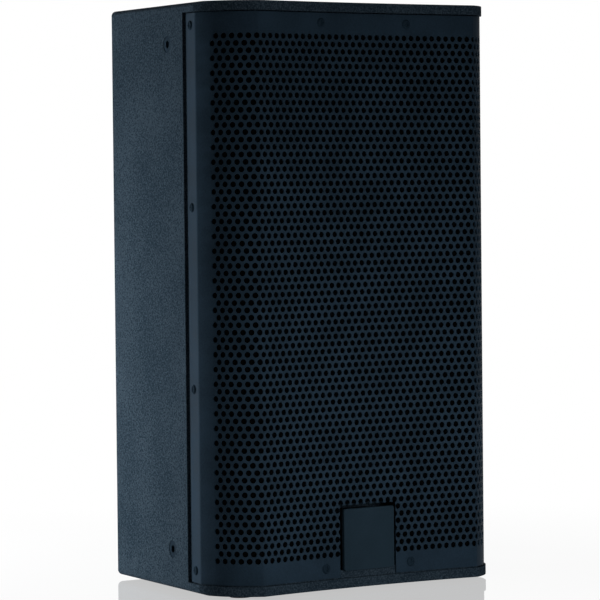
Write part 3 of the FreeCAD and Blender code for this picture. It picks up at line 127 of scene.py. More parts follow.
# Plain finishes. grain is the size of the mottling and bump its height, both in millimetres;
# rough is the roughness between the smooth and the dull spots.
plainFinishes = {
    # Satin polyester powder coat on steel: a soft sheen with a faint orange peel of 1.5 mm.
    "grille_steel": {"name": "satinPowderCoatOnSteel", "colours": ("#1d2a35", "#243340"),
                     "rough": (0.45, 0.55), "grain": 1.5, "bump": 0.012,
                     "look": {"IOR": 1.5, "Specular IOR Level": 0.03}},
    # Black-lacquered steel screws: as dark as the coat, with a low sheen on their edges.
    "black_screws": {"name": "blackLacquerOnSteel", "colours": ("#15212b", "#202e39"), "rough": (0.5, 0.62),
                     "grain": 0.8, "bump": 0.008, "look": {"IOR": 1.5, "Specular IOR Level": 0.01}},
    # ABS badge moulding from a spark-eroded tool: even, fine matt skin.
    "badge_plastic": {"name": "finelyTexturedMouldedAbs", "colours": ("#1d2a33", "#22303a"),
                      "rough": (0.42, 0.5), "grain": 0.9, "bump": 0.01,
                      "look": {"IOR": 1.53, "Specular IOR Level": 0.015}},
    # Die-cast aluminium basket, black electrocoat: smooth with shallow flow marks.
    "basket_alloy": {"name": "electrocoatedDieCastAluminium", "colours": ("#1c1d1f", "#26272a"),
                     "rough": (0.35, 0.5), "grain": 4.0, "bump": 0.05, "look": {"IOR": 1.5}},
    # Zinc-plated steel: bright and slightly cloudy, with a blue passivation.
    "plated_steel": {"name": "bluePassivatedZincOnSteel", "colours": ("#b4bac2", "#c9ced4"),
                     "rough": (0.25, 0.4), "grain": 3.0, "bump": 0.006, "look": {"Metallic": 1.0}},
    # Sintered ferrite: dull dark grey with ground faces.
    "ferrite": {"name": "groundSinteredFerrite", "colours": ("#2b2b2d", "#39393b"), "rough": (0.5, 0.7),
                "grain": 1.2, "bump": 0.03, "look": {"IOR": 1.6, "Metallic": 0.2}},
    # ABS mouldings of the dish, handle, horn and ports: black, with a leather-like grain of 1.2 mm.
    "black_plastic": {"name": "grainedMouldedAbs", "colours": ("#14171a", "#1d2125"), "rough": (0.45, 0.6),
                      "grain": 1.2, "bump": 0.05, "look": {"IOR": 1.53}},
    # Pressed titanium foil: bright satin, slightly warm.
    "diaphragm_metal": {"name": "pressedTitaniumFoil", "colours": ("#a6a19a", "#b9b4ac"),
                        "rough": (0.25, 0.4), "grain": 1.0, "bump": 0.01, "look": {"Metallic": 1.0}},
    # Glass-epoxy board under green solder mask: a glossy film over faint weave.
    "circuit_board": {"name": "solderMaskOnGlassEpoxy", "colours": ("#17402c", "#1f5439"),
                      "rough": (0.2, 0.35), "grain": 1.6, "bump": 0.01, "look": {"IOR": 1.55}},
    # Polyester film capacitors: smooth yellow tape wrap.
    "film_capacitor": {"name": "tapeWrappedPolyesterFilm", "colours": ("#c79a2c", "#d6aa3d"),
                       "rough": (0.3, 0.42), "grain": 5.0, "bump": 0.02, "look": {"IOR": 1.57}},
    # Cement resistor bodies: chalky white filler in a ceramic boat.
    "cement": {"name": "castCementInCeramic", "colours": ("#c8c4b8", "#dcd8cc"), "rough": (0.75, 0.9),
               "grain": 0.9, "bump": 0.06, "look": {"IOR": 1.5}},
    # Glass-filled polyamide of the sockets and the barrier strip: dark blue-grey and faintly streaked.
    "connector_plastic": {"name": "mouldedGlassFilledPolyamide", "colours": ("#1a2a44", "#22365a"),
                          "rough": (0.4, 0.55), "grain": 1.5, "bump": 0.015, "look": {"IOR": 1.53}},
    # Moulded rubber feet: dull, with a dusty bloom.
    "foot_rubber": {"name": "mouldedNitrileRubber", "colours": ("#15161a", "#24262a"), "rough": (0.7, 0.85),
                    "grain": 2.0, "bump": 0.03, "look": {"IOR": 1.52}},
    # Extruded PVC on the leads: smooth and slightly glossy.
    "lead_jacket": {"name": "extrudedPvcJacket", "colours": ("#1a1b1d", "#2a2b2e"), "rough": (0.35, 0.5),
                    "grain": 3.0, "bump": 0.01, "look": {"IOR": 1.54}},
    # Pressed fibre board of the gasket: dull grey with short fibres.
    "gasket_board": {"name": "pressedFibreBoard", "colours": ("#303132", "#454647"), "rough": (0.8, 0.95),
                     "grain": 0.7, "bump": 0.05, "look": {"IOR": 1.45}},
}


def plainFinish(values):
    material, tree, shader, place = startMaterial(values["name"], values["look"])
    grain = addNode(tree, "ShaderNodeTexNoise", {"Scale": 1 / (values["grain"] * mm), "Detail": 3.0},
                    {"Vector": place}).outputs["Fac"]
    cloud = addNode(tree, "ShaderNodeTexNoise", {"Scale": 1 / (30 * mm), "Detail": 2.0},
                    {"Vector": place}).outputs["Fac"]
    both = addNode(tree, "ShaderNodeMath", {"operation": "ADD"}, {0: grain, 1: cloud}).outputs[0]
    amount = spread(tree, both, 0.0, 1.0, 0.75, 1.25)
    tree.links.new(colourBetween(tree, amount, *values["colours"]), shader.inputs["Base Color"])
    tree.links.new(spread(tree, amount, *values["rough"], 0.0, 1.0), shader.inputs["Roughness"])
    bump = addNode(tree, "ShaderNodeBump", {"Strength": 1.0, "Distance": values["bump"] * mm},
                   {"Height": grain})
    tree.links.new(bump.outputs["Normal"], shader.inputs["Normal"])
    return material


print("materials")
paintValues = {
    "pebble": 1.35,           # millimetres across one pebble, as sprayed
    "pebbleHeight": 0.3,
    "speck": 0.7,
    # the next two colours: painted shade in the hollows between the pebbles, and painted highlight on their
    # crowns
    "hollow": "#1b262f",
    "crownHighlight": "#35414b",
    "rough": (0.6, 0.75),
}


def texturedPaint(values):
    # Sprayed texture paint on plywood: hard pebbles, duller in the hollows between; the colour is lighter
    # on their crowns as a painted highlight and darker in the hollows as painted shade.
    material, tree, shader, place = startMaterial("sprayedTexturePaintOnPlywood",
                                                  {"IOR": 1.5, "Specular IOR Level": 0.006})
    pebbles = addNode(tree, "ShaderNodeTexNoise",
                      {"Scale": 1 / (values["pebble"] * mm), "Detail": 2.0, "Roughness": 0.45},
                      {"Vector": place}).outputs["Fac"]
    specks = addNode(tree, "ShaderNodeTexVoronoi",
                     {"feature": "SMOOTH_F1", "Scale": 1 / (2 * values["speck"] * mm), "Smoothness": 0.6},
                     {"Vector": place}).outputs["Distance"]
    cloud = addNode(tree, "ShaderNodeTexNoise", {"Scale": 1 / (60 * mm), "Detail": 2.0},
                    {"Vector": place}).outputs["Fac"]
    crowns = addNode(tree, "ShaderNodeMath", {"operation": "MULTIPLY_ADD", 1: -0.5},
                     {0: specks, 2: pebbles})
    height = crowns.outputs[0]
    shaded = addNode(tree, "ShaderNodeMath", {"operation": "MULTIPLY_ADD", 1: 0.3}, {0: cloud, 2: height})
    amount = spread(tree, shaded.outputs[0], 0.0, 1.0, 0.25, 0.65)
    # Painted shade in the hollows and painted highlight on the crowns, over a large cloud of tone.
    tree.links.new(colourBetween(tree, amount, values["hollow"], values["crownHighlight"]),
                   shader.inputs["Base Color"])
    tree.links.new(spread(tree, height, values["rough"][1], values["rough"][0], 0.1, 0.5),
                   shader.inputs["Roughness"])
    bump = addNode(tree, "ShaderNodeBump", {"Strength": 1.0, "Distance": values["pebbleHeight"] * mm},
                   {"Height": height})
    tree.links.new(bump.outputs["Normal"], shader.inputs["Normal"])
    return material


# wall is the foam's own colour; hole is painted shade in the pores
foamValues = {"pore": 1.3, "depth": 0.9, "wall": "#0b0d10", "hole": "#010102"}


def openCellFoam(values):
    # Reticulated foam: thin skeleton walls that sparkle a little round the pores, which are coloured near
    # black as painted shade for the depth of the open cells.
    material, tree, shader, place = startMaterial("reticulatedPolyurethaneFoam",
                                                  {"IOR": 1.5, "Specular IOR Level": 0.05})
    pores = addNode(tree, "ShaderNodeTexVoronoi", {"feature": "DISTANCE_TO_EDGE",
                                                   "Scale": 1 / (values["pore"] * mm)},
                    {"Vector": place}).outputs["Distance"]
    depth = spread(tree, pores, 0.0, 1.0, 0.02, 0.14)
    # Near black in the pores: painted shade.
    tree.links.new(colourBetween(tree, depth, values["wall"], values["hole"]), shader.inputs["Base Color"])
    tree.links.new(spread(tree, depth, 0.6, 0.95, 0.0, 1.0), shader.inputs["Roughness"])
    bump = addNode(tree, "ShaderNodeBump",
                   {"Strength": 1.0, "Distance": values["depth"] * mm, "invert": True}, {"Height": depth})
    tree.links.new(bump.outputs["Normal"], shader.inputs["Normal"])
    return material


def birchPlywood():
    # Sawn and sanded birch ply: pale straw with brown growth lines about 4 mm apart and fine pores.
    material, tree, shader, place = startMaterial("sandedBirchPlywood", {"IOR": 1.5})
    # One growth line in 4 mm, and 12 changes in a metre along the grain.
    stretched = addNode(tree, "ShaderNodeMapping", {"Scale": (250, 250, 12)}, {"Vector": place}).outputs[0]
    grain = addNode(tree, "ShaderNodeTexNoise", {"Scale": 1.0, "Detail": 6.0, "Distortion": 0.6},
                    {"Vector": stretched}).outputs["Fac"]
    pores = addNode(tree, "ShaderNodeTexNoise", {"Scale": 1 / (0.8 * mm), "Detail": 2.0},
                    {"Vector": place}).outputs["Fac"]
    tree.links.new(colourBetween(tree, spread(tree, grain, 0.0, 1.0), "#b68f5c", "#d6b680"),
                   shader.inputs["Base Color"])
    tree.links.new(spread(tree, pores, 0.6, 0.8), shader.inputs["Roughness"])
    bump = addNode(tree, "ShaderNodeBump", {"Strength": 1.0, "Distance": 0.05 * mm}, {"Height": pores})
    tree.links.new(bump.outputs["Normal"], shader.inputs["Normal"])
    return material


# Woven or wound finishes: two crossed sets of threads, or one set for a winding.
threadFinishes = {
    # Resin-dipped cotton spider: amber, open weave of 0.8 mm threads, drawn at 1 mm to show.
    "spider_cloth": {"name": "resinDippedWovenCotton", "colours": ("#7a4a17", "#b3803a"), "thread": 1.0,
                     "height": 0.12, "rough": (0.5, 0.75), "axes": ("X", "Z"), "look": {"IOR": 1.5}},
    # Coated cloth surround: black weave half filled by a rubbery dope.
    "treated_cloth": {"name": "dopedWovenPolyester", "colours": ("#121314", "#202224"), "thread": 1.0,
                      "height": 0.06, "rough": (0.4, 0.6), "axes": ("X", "Z"), "look": {"IOR": 1.5}},
    # Enamelled copper windings: glossy orange wire in layers 1 mm apart.
    "copper_coil": {"name": "enamelledCopperWinding", "colours": ("#8a3f1c", "#c9713a"), "thread": 1.0,
                    "height": 0.2, "rough": (0.2, 0.35), "axes": ("Y",), "look": {"Metallic": 1.0}},
}


def threadedFinish(values):
    material, tree, shader, place = startMaterial(values["name"], values["look"])
    waves = []
    for axis in values["axes"]:
        wave = addNode(tree, "ShaderNodeTexWave", {"bands_direction": axis,
                                                   "Scale": 1 / (3.2 * values["thread"] * mm),
                                                   "Distortion": 0.3}, {"Vector": place})
        waves.append(wave.outputs["Fac"])
    height = waves[0]
    for wave in waves[1:]:
        height = addNode(tree, "ShaderNodeMath", {"operation": "MULTIPLY"}, {0: height, 1: wave}).outputs[0]
    # The colour follows the thread height: darker in the low places between threads and turns as painted
    # shade, lighter on the raised ones as painted highlight.
    tree.links.new(colourBetween(tree, height, *values["colours"]), shader.inputs["Base Color"])
    tree.links.new(spread(tree, height, values["rough"][1], values["rough"][0], 0.0, 1.0),
                   shader.inputs["Roughness"])
    bump = addNode(tree, "ShaderNodeBump", {"Strength": 1.0, "Distance": values["height"] * mm},
                   {"Height": height})
    tree.links.new(bump.outputs["Normal"], shader.inputs["Normal"])
    return material


# Fibrous finishes: felted or pressed fibres, drawn as noise stretched by strong distortion.
fibreFinishes = {
    # Air-dried paper pulp cone: charcoal with paler fibres a few millimetres long.
    "paper_pulp": {"name": "airDriedPaperPulp", "colours": ("#1d1d1e", "#3a3a3b"), "fibre": 2.5,
                   "height": 0.12, "rough": (0.75, 0.95), "look": {"IOR": 1.45}},
    # Carded polyester wadding: off-white, with loose curls that catch a soft sheen.
    "wadding": {"name": "cardedPolyesterWadding", "colours": ("#a9abac", "#e2e3e2"), "fibre": 5.0,
                "height": 0.8, "rough": (0.85, 1.0), "look": {"IOR": 1.5, "Sheen Weight": 0.4}},
}


def fibreFinish(values):
    material, tree, shader, place = startMaterial(values["name"], values["look"])
    fibres = addNode(tree, "ShaderNodeTexNoise", {"Scale": 1 / (values["fibre"] * mm), "Detail": 5.0,
                                                  "Distortion": 2.5}, {"Vector": place}).outputs["Fac"]
    tree.links.new(colourBetween(tree, spread(tree, fibres, 0.0, 1.0), *values["colours"]),
                   shader.inputs["Base Color"])
    tree.links.new(spread(tree, fibres, *values["rough"]), shader.inputs["Roughness"])
    bump = addNode(tree, "ShaderNodeBump", {"Strength": 1.0, "Distance": values["height"] * mm},
                   {"Height": fibres})
    tree.links.new(bump.outputs["Normal"], shader.inputs["Normal"])
    return material


finishes = {"painted_plywood": texturedPaint(paintValues), "acoustic_foam": openCellFoam(foamValues),
            "bare_plywood": birchPlywood()}
for slotName, values in plainFinishes.items():
    finishes[slotName] = plainFinish(values)
for slotName, values in threadFinishes.items():
    finishes[slotName] = threadedFinish(values)
for slotName, values in fibreFinishes.items():
    finishes[slotName] = fibreFinish(values)

for part in frame["record"]["subparts"]:
    slotName = part["material_slot"]
    if part["node"].startswith("grille_cleat"):
        slotName = "painted_plywood"        # the cleats are sprayed with the cabinet's front
    for holder in frame["nodes"][part["node"]].material_slots:
        holder.material = finishes[slotName]


def newPiece(name, points, faces, slotName, body="cabinet", sharp=35.0):
    mesh = bpy.data.meshes.new(name)
    mesh.from_pydata([tuple(p) for p in points], [], faces)
    mesh.validate()
    mesh.update()
    mesh.polygons.foreach_set("use_smooth", [True] * len(mesh.polygons))
    mesh.set_sharp_from_angle(angle=math.radians(sharp))
    mesh.materials.append(finishes[slotName])
    piece = bpy.data.objects.new(name, mesh)
    bpy.context.collection.objects.link(piece)
    if body:
        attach(piece, body)
    return piece


# The grille's outer face in plan, by the distance along it from the middle.
contour = {
    "hollowRadius": 921.5 * mm,
    "cornerRadius": 55.0 * mm,
    "cornerCentre": (87.67 * mm, -57.88 * mm),
    "creaseNear": 110.0 * mm,       # the crease is the crossing of the two arcs nearest to this
    "taper": 8.9,             # degrees, of the sides and the flanges
}


def contourMarks(values):
    # Distances of the crease and of the bend from the middle, and the hollow's centre.
    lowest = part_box("grille")[0]
    cx, cy = values["cornerCentre"]
    big, small = values["hollowRadius"], values["cornerRadius"]
    creaseY = lowest.y
    creaseX = cx - math.sqrt(small ** 2 - (creaseY - cy) ** 2)
    creaseX = min((creaseX, 2 * cx - creaseX), key=lambda x: abs(x - values["creaseNear"]))
    hollowY = creaseY - math.sqrt(big ** 2 - creaseX ** 2)
    crease = big * math.asin(creaseX / big)
    startAngle = math.atan2(creaseY - cy, creaseX - cx)
    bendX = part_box("grille")[1].x
    endAngle = math.atan2(-math.sqrt(max(small ** 2 - (bendX - cx) ** 2, 0.0)), bendX - cx)
    bend = crease + small * (endAngle - startAngle)
    bendY = cy + small * math.sin(endAngle)
    end = bend + (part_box("grille")[1].y - bendY) / math.cos(math.radians(values["taper"]))
    return {"hollowY": hollowY, "crease": crease, "startAngle": startAngle, "endAngle": endAngle,
            "bend": bend, "end": end}


marks = contourMarks(contour)
print("contour", {key: round(value, 5) for key, value in marks.items()})


def contourPoint(along, depth):
    # Plan place at that distance along the outer face, depth inwards from it.
    side = -1 if along < 0 else 1
    s = abs(along)
    cx, cy = contour["cornerCentre"]
    taper = math.radians(contour["taper"])
    if s <= marks["crease"]:
        radius = contour["hollowRadius"]
        angle = s / radius
        x, y = radius * math.sin(angle), marks["hollowY"] + radius * math.cos(angle)
    elif s <= marks["bend"]:
        angle = marks["startAngle"] + (s - marks["crease"]) / contour["cornerRadius"]
        x = cx + contour["cornerRadius"] * math.cos(angle)
        y = cy + contour["cornerRadius"] * math.sin(angle)
    else:
        x = cx + contour["cornerRadius"] * math.cos(marks["endAngle"])
        y = cy + contour["cornerRadius"] * math.sin(marks["endAngle"])
        x -= (s - marks["bend"]) * math.sin(taper)
        y += (s - marks["bend"]) * math.cos(taper)
    nx, ny = contourInward(s)
    return side * (x + nx * depth), y + ny * depth


def contourInward(s):
    # Inward normal, turned over a short way at the crease and at the bend.
    taper = math.radians(contour["taper"])
    hollow = min(s, marks["crease"]) / contour["hollowRadius"]
    corner = marks["startAngle"] + (min(max(s, marks["crease"]), marks["bend"]) - marks["crease"]) \
        / contour["cornerRadius"]
    normals = ((math.sin(hollow), math.cos(hollow)), (-math.cos(corner), -math.sin(corner)),
               (-math.cos(taper), -math.sin(taper)))
    reach = grilleSheet["bendReach"]
    first = min(max((s - marks["crease"]) / (2 * reach) + 0.5, 0.0), 1.0)
    second = min(max((s - marks["bend"]) / (2 * reach) + 0.5, 0.0), 1.0)
    parts = ((1 - first), first * (1 - second), second)
    nx = sum(p * n[0] for p, n in zip(parts, normals))
    ny = sum(p * n[1] for p, n in zip(parts, normals))
    length = math.hypot(nx, ny)
    return nx / length, ny / length


print("grille")
grilleSheet = {
    "thickness": 1.2 * mm,
    "pitch": 7.0 * mm,        # between holes in a row
    "hole": 5.0 * mm,         # diameter
    "rows": 72,
    "rowHoles": (43, 44),     # turn by turn, from the top
    "bendReach": 1.5 * mm,    # half the width of a rounded fold
    "notchHalf": 29.0 * mm,   # around the badge
    "notchTop": 72.2 * mm,
}


def perforatedSheet(values):
    # The flat blank: one six-sided cell around each hole, plain margins, then the flanges.
    lowest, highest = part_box("grille")
    pitch = values["pitch"]
    rise = pitch * math.sqrt(3) / 2
    cell = pitch / math.sqrt(3)
    radius = values["hole"] / 2
    top = (lowest.z + highest.z) / 2 + rise * (values["rows"] - 1) / 2
    end = marks["end"]
    points, index, faces = [], {}, []

    def at(s, z):
        key = (round(s / (mm * 0.01)), round(z / (mm * 0.01)))
        if key not in index:
            index[key] = len(points)
            points.append((s, z))
        return index[key]

    def face(*corners):
        faces.append([at(*corner) for corner in corners])

    edges = []
    for row in range(values["rows"]):
        holes = values["rowHoles"][row % 2]
        z = top - row * rise
        for n in range(holes):
            s = (n - (holes - 1) / 2) * pitch
            corners = [(s + cell * math.cos(math.radians(30 + 60 * k)),
                        z + cell * math.sin(math.radians(30 + 60 * k))) for k in range(7)]
            # Twelve points on the rim, two for each corner of the cell.
            rim = [(s + radius * math.cos(math.radians(30 * k)),
                    z + radius * math.sin(math.radians(30 * k))) for k in range(12)]
            for k in range(6):
                face(corners[k], corners[k + 1], rim[(2 * k + 3) % 12], rim[(2 * k + 2) % 12],
                     rim[(2 * k + 1) % 12])
        edges.append((holes * pitch / 2, z))
    heights = [highest.z]
    for half, z in edges:
        heights += [z + cell / 2, z - cell / 2]
    heights.append(lowest.z)
    # Side strips and flanges, right then left.
    for side in (1, -1):
        widths = [edges[0][0]]
        for half, z in edges:
            widths += [half, half]
        widths.append(edges[-1][0])
        for n in range(len(heights) - 1):
            z0, z1 = heights[n + 1], heights[n]
            w0, w1 = side * widths[n + 1], side * widths[n]
            bend = side * marks["bend"]
            quads = [((w0, z0), (bend, z0), (bend, z1), (w1, z1)),
                     ((bend, z0), (side * end, z0), (side * end, z1), (bend, z1))]
            for quad in quads:
                face(*(quad if side == 1 else quad[::-1]))
    # Strips above the first row and below the last.
    for (half, z), outer, sign in ((edges[0], highest.z, 1), (edges[-1], lowest.z, -1)):
        steps = int(round(half / (pitch / 2)))
        chain = [(n * pitch / 2, z + sign * (cell if (n + steps) % 2 else cell / 2))
                 for n in range(-steps, steps + 1)]
        for before, after in zip(chain, chain[1:]):
            quad = (before, after, (after[0], outer), (before[0], outer))
            face(*(quad if sign == 1 else quad[::-1]))
    return points, faces


def cutSheet(points, faces, values):
    # Score the folds, and cut the notch out of whole cells and half holes.
    work = bmesh.new()
    verts = [work.verts.new((s, 0, z)) for s, z in points]
    for corners in faces:
        work.faces.new([verts[n] for n in corners])
    reach = values["bendReach"]
    folds = [marks["crease"] - reach, marks["crease"], marks["crease"] + reach, marks["bend"] - reach,
             marks["bend"] + reach]
    for place in [sign * fold for fold in folds for sign in (-1, 1)]:
        bmesh.ops.bisect_plane(work, geom=work.verts[:] + work.edges[:] + work.faces[:],
                               plane_co=(place, 0, 0), plane_no=(1, 0, 0), dist=1e-7)
    half, top = values["notchHalf"], values["notchTop"]
    margin = 8 * mm             # a little more than one cell
    for plane, normal in (((-half, 0, 0), (1, 0, 0)), ((half, 0, 0), (1, 0, 0)), ((0, 0, top), (0, 0, 1))):
        near = [f for f in work.faces if abs(f.calc_center_median().x) < half + margin
                and f.calc_center_median().z < top + margin]
        edges = {e for f in near for e in f.edges}
        corners = {v for f in near for v in f.verts}
        bmesh.ops.bisect_plane(work, geom=list(corners) + list(edges) + near, plane_co=plane,
                               plane_no=normal, dist=1e-7)
    gone = [f for f in work.faces
            if abs(f.calc_center_median().x) < half and f.calc_center_median().z < top]
    bmesh.ops.delete(work, geom=gone, context="FACES")
    work.verts.index_update()
    flat = [(v.co.x, v.co.z) for v in work.verts]
    cut = [[v.index for v in f.verts] for f in work.faces]
    work.free()
    return flat, cut


def foldedSheet(flat, faces, outer, thickness):
    # Bends the blank along the contour, with a back face and the walls of every edge.
    count = len(flat)
    points = []
    for depth in (outer, outer + thickness):
        for s, z in flat:
            x, y = contourPoint(s, depth)
            points.append((x, y, z))
    used = {}
    for corners in faces:
        for a, b in zip(corners, corners[1:] + corners[:1]):
            used[(a, b)] = used.get((a, b), 0) + 1
    walls = [(b, a, a + count, b + count) for a, b in used if (b, a) not in used]
    back = [[n + count for n in reversed(corners)] for corners in faces]
    return points, [*faces, *back, *walls]


blank, blankFaces = cutSheet(*perforatedSheet(grilleSheet), grilleSheet)
sheetPoints, sheetFaces = foldedSheet(blank, blankFaces, 0.0, grilleSheet["thickness"])
perforatedGrille = newPiece("perforated_grille", sheetPoints, sheetFaces, "grille_steel")
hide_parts("grille")
print("  triangles", sum(len(p.vertices) - 2 for p in perforatedGrille.data.polygons))

print("foam")
foamSheet = {
    "front": 1.5 * mm,        # behind the grille's outer face
    "thickness": 5.0 * mm,
    "cell": 4.0 * mm,
    "stopShort": 7.0 * mm,    # how far before the bend it ends
    "notchHalf": 30.2 * mm,
    "notchTop": 73.4 * mm,
    "ripple": 0.25 * mm,
    "ripplesPerMetre": 60,
}


def linesBetween(low, high, step, extra):
    lines = set(np.linspace(low, high, max(2, int((high - low) / step) + 1)).tolist()) | set(extra)
    return sorted(lines)


def foamBlank(values):
    lowest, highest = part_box("grille_foam")
    end = marks["bend"] - values["stopShort"]
    across = linesBetween(-end, end, values["cell"], (-values["notchHalf"], values["notchHalf"]))
    up = linesBetween(lowest.z, highest.z, values["cell"], (values["notchTop"],))
    flat = [(s, z) for z in up for s in across]
    faces = []
    for row in range(len(up) - 1):
        for n in range(len(across) - 1):
            middle = (across[n] + across[n + 1]) / 2
            if abs(middle) < values["notchHalf"] and up[row + 1] <= values["notchTop"] + 1e-9:
                continue
            a = row * len(across) + n
            faces.append([a, a + 1, a + 1 + len(across), a + len(across)])
    used = sorted({n for corners in faces for n in corners})
    place = {n: k for k, n in enumerate(used)}
    return [flat[n] for n in used], [[place[n] for n in corners] for corners in faces]


foamPoints, foamFaces = foldedSheet(*foamBlank(foamSheet), foamSheet["front"], foamSheet["thickness"])
# A skived sheet is never quite flat: its faces ripple by a fraction of a millimetre.
foamRipples = [noise.noise(Vector((x, 0, z)) * foamSheet["ripplesPerMetre"]) for x, y, z in foamPoints]
foamPoints = [(x, y + foamSheet["ripple"] * (1 + lift) / 2, z)
              for (x, y, z), lift in zip(foamPoints, foamRipples)]
grilleFoam = newPiece("grille_foam_sheet", foamPoints, foamFaces, "acoustic_foam")
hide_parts("grille_foam")

print("lining")
liningPad = {
    "cells": (18, 24),        # along the depth and the height
    "taperEdge": 9.0 * mm,    # width over which a pad thins to its edge
    "edge": 0.35,             # thickness at the very edge, as a share
    "lump": 1.2 * mm,
    "lumpSize": 28.0 * mm,
    "thickness": 12.0 * mm,
}


def paddedSlab(name, corners, bottom, top, values):
    # corners: outer front, outer back, inner back, inner front in plan.
    outerFront, outerBack, innerBack, innerFront = [Vector((*c, 0)) for c in corners]
    columns, rows = values["cells"]
    length = (outerBack - outerFront).length
    points, faces = [], []
    for layer in (0, 1):
        for row in range(rows + 1):
            for column in range(columns + 1):
                u, v = column / columns, row / rows
                z = bottom + (top - bottom) * v
                fromEdge = min(u * length, (1 - u) * length, z - bottom, top - z)
                full = min(fromEdge / values["taperEdge"], 1.0)
                share = values["edge"] + (1 - values["edge"]) * math.sqrt(1 - (1 - full) ** 2)
                wall = outerFront.lerp(outerBack, u)
                inner = innerFront.lerp(innerBack, u)
                level = noise.noise(Vector((wall.x, wall.y, z)) / values["lumpSize"])
                lump = values["lump"] * (level - 1) / 2
                inward = (inner - wall).normalized()
                spot = wall + inward * layer * ((inner - wall).length * share + lump * full)
                points.append((spot.x, spot.y, z))
    count = (columns + 1) * (rows + 1)

    def grid(layer, column, row):
        return layer * count + row * (columns + 1) + column

    for row in range(rows):
        for column in range(columns):
            quad = [grid(0, column, row), grid(0, column + 1, row), grid(0, column + 1, row + 1),
                    grid(0, column, row + 1)]
            faces += [quad[::-1], [n + count for n in quad]]
    rim = [(c, 0) for c in range(columns)] + [(columns, r) for r in range(rows)]
    rim += [(c, rows) for c in range(columns, 0, -1)] + [(0, r) for r in range(rows, 0, -1)]
    for a, b in zip(rim, rim[1:] + rim[:1]):
        faces.append([grid(0, *a), grid(0, *b), grid(1, *b), grid(1, *a)])
    if outerFront.x < 0:
        faces = [corners[::-1] for corners in faces]
    return newPiece(name, points, faces, "wadding", sharp=60.0)


def liningPads(values):
    lowest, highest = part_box("lining")
    taper = math.radians(contour["taper"])
    front, back = lowest.y, highest.y
    wide = highest.x
    narrow = wide - (back - front) * math.tan(taper)
    across = values["thickness"] / math.cos(taper)
    for side, name in ((-1, "lining_pad_left"), (1, "lining_pad_right")):
        corners = [(side * wide, front), (side * narrow, back), (side * (narrow - across), back),
                   (side * (wide - across), front)]
        pad = paddedSlab(name, corners, lowest.z, highest.z, values)
    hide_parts("lining")


liningPads(liningPad)

print("cone suspension")
# Each ring is made of wedges.
surroundRing = {"wedges": 16, "steps": 5, "inner": 84.5 * mm, "outer": 108.0 * mm, "rollInner": 89.5 * mm,
                "rollOuter": 103.0 * mm, "thickness": 0.8 * mm, "rollSteps": 14,
                "stillFrom": 100.9 * mm, "movingTo": 89.5 * mm}
spiderRing = {"wedges": 12, "steps": 6, "inner": 26.7 * mm, "outer": 67.0 * mm, "ridges": 6,
              "ridgeStart": 28.7 * mm, "ridgeEnd": 61.0 * mm, "height": 1.5 * mm, "thickness": 0.6 * mm,
              "ridgeSteps": 8, "lift": 0.2 * mm, "stillFrom": 58.9 * mm, "movingTo": 28.7 * mm}


def wedgePiece(name, profile, centre, start, spreadAngle, steps, slotName):
    # profile: closed outline of (radius, y); the wedge turns about the woofer's axis.
    points = []
    for n in range(steps + 1):
        angle = start + spreadAngle * n / steps
        points += [(r * math.cos(angle), y, centre + r * math.sin(angle)) for r, y in profile]
    size = len(profile)
    faces = []
    for n in range(steps):
        for k in range(size):
            a, b = n * size + k, n * size + (k + 1) % size
            faces.append([a, a + size, b + size, b])
    faces.append(list(range(size)))
    faces.append([steps * size + k for k in reversed(range(size))])
    return newPiece(name, points, faces, slotName, body=None, sharp=50.0)


def ringOfWedges(name, profile, values, centre, slotName, node):
    spreadAngle = 2 * math.pi / values["wedges"]
    first = None
    for n in range(values["wedges"]):
        middle = n * spreadAngle
        wedge = wedgePiece(f"{name}_{n + 1}", profile, centre, middle - spreadAngle / 2, spreadAngle,
                           values["steps"], slotName)
        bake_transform(wedge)
        first = first or wedge
    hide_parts(node)


def surroundProfile(values):
    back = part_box("woofer_surround")[1].y
    middle = (values["rollInner"] + values["rollOuter"]) / 2
    roll = (values["rollOuter"] - values["rollInner"]) / 2
    thin = values["thickness"]
    front = [(values["inner"], back - thin)]
    rear = [(values["inner"], back)]
    for n in range(values["rollSteps"] + 1):
        angle = math.pi * n / values["rollSteps"]
        front.append((middle - roll * math.cos(angle), back - thin - roll * math.sin(angle)))
        rear.append((middle - (roll - thin) * math.cos(angle), back - (roll - thin) * math.sin(angle)))
    front.append((values["outer"], back - thin))
    rear.append((values["outer"], back))
    return rear + front[::-1]


def spiderProfile(values):
    lowest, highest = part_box("woofer_spider")
    level = (lowest.y + highest.y) / 2 + values["lift"]
    count = values["ridges"] * values["ridgeSteps"]
    front = [(values["inner"], level)]
    for n in range(count + 1):
        r = values["ridgeStart"] + (values["ridgeEnd"] - values["ridgeStart"]) * n / count
        wave = math.sin(math.pi * values["ridges"] * n / count)
        front.append((r, level - values["height"] * wave / 2))
    front.append((values["outer"], level))
    rear = [(r, y + values["thickness"]) for r, y in front]
    return rear + front[::-1]


wooferCentre = sum(corner.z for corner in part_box("woofer_basket")) / 2
ringOfWedges("surround_wedge", surroundProfile(surroundRing), surroundRing, wooferCentre, "treated_cloth",
             "woofer_surround")
ringOfWedges("spider_wedge", spiderProfile(spiderRing), spiderRing, wooferCentre, "spider_cloth",
             "woofer_spider")

print("leads")
# Each lead's route keeps its points in millimetres, from one end to the other.
leads = {
    "diameter": 4.0 * mm,
    "routes": {
        "woofer_lead": ((8, -3.32, 259), (8, 22, 259), (12, 46, 268), (18, 66, 263), (18, 84.9, 263)),
        "driver_lead": ((-15, 84.9, 263), (-15, 57, 263), (-13, 52, 300), (-10, 60, 335), (-6, 74, 362),
                        (0, 68, 382), (0, 44.68, 382)),
        "input_lead": ((-20, 55.5, 129), (-20, 28.5, 129), (-18, 28.4, 156.5), (-14, 50, 176),
                       (-10, 64, 179), (-10, 84.9, 179)),
    },
    "lengths": {"woofer_lead": 90.6 * mm, "driver_lead": 168.3 * mm, "input_lead": 112.6 * mm},
}


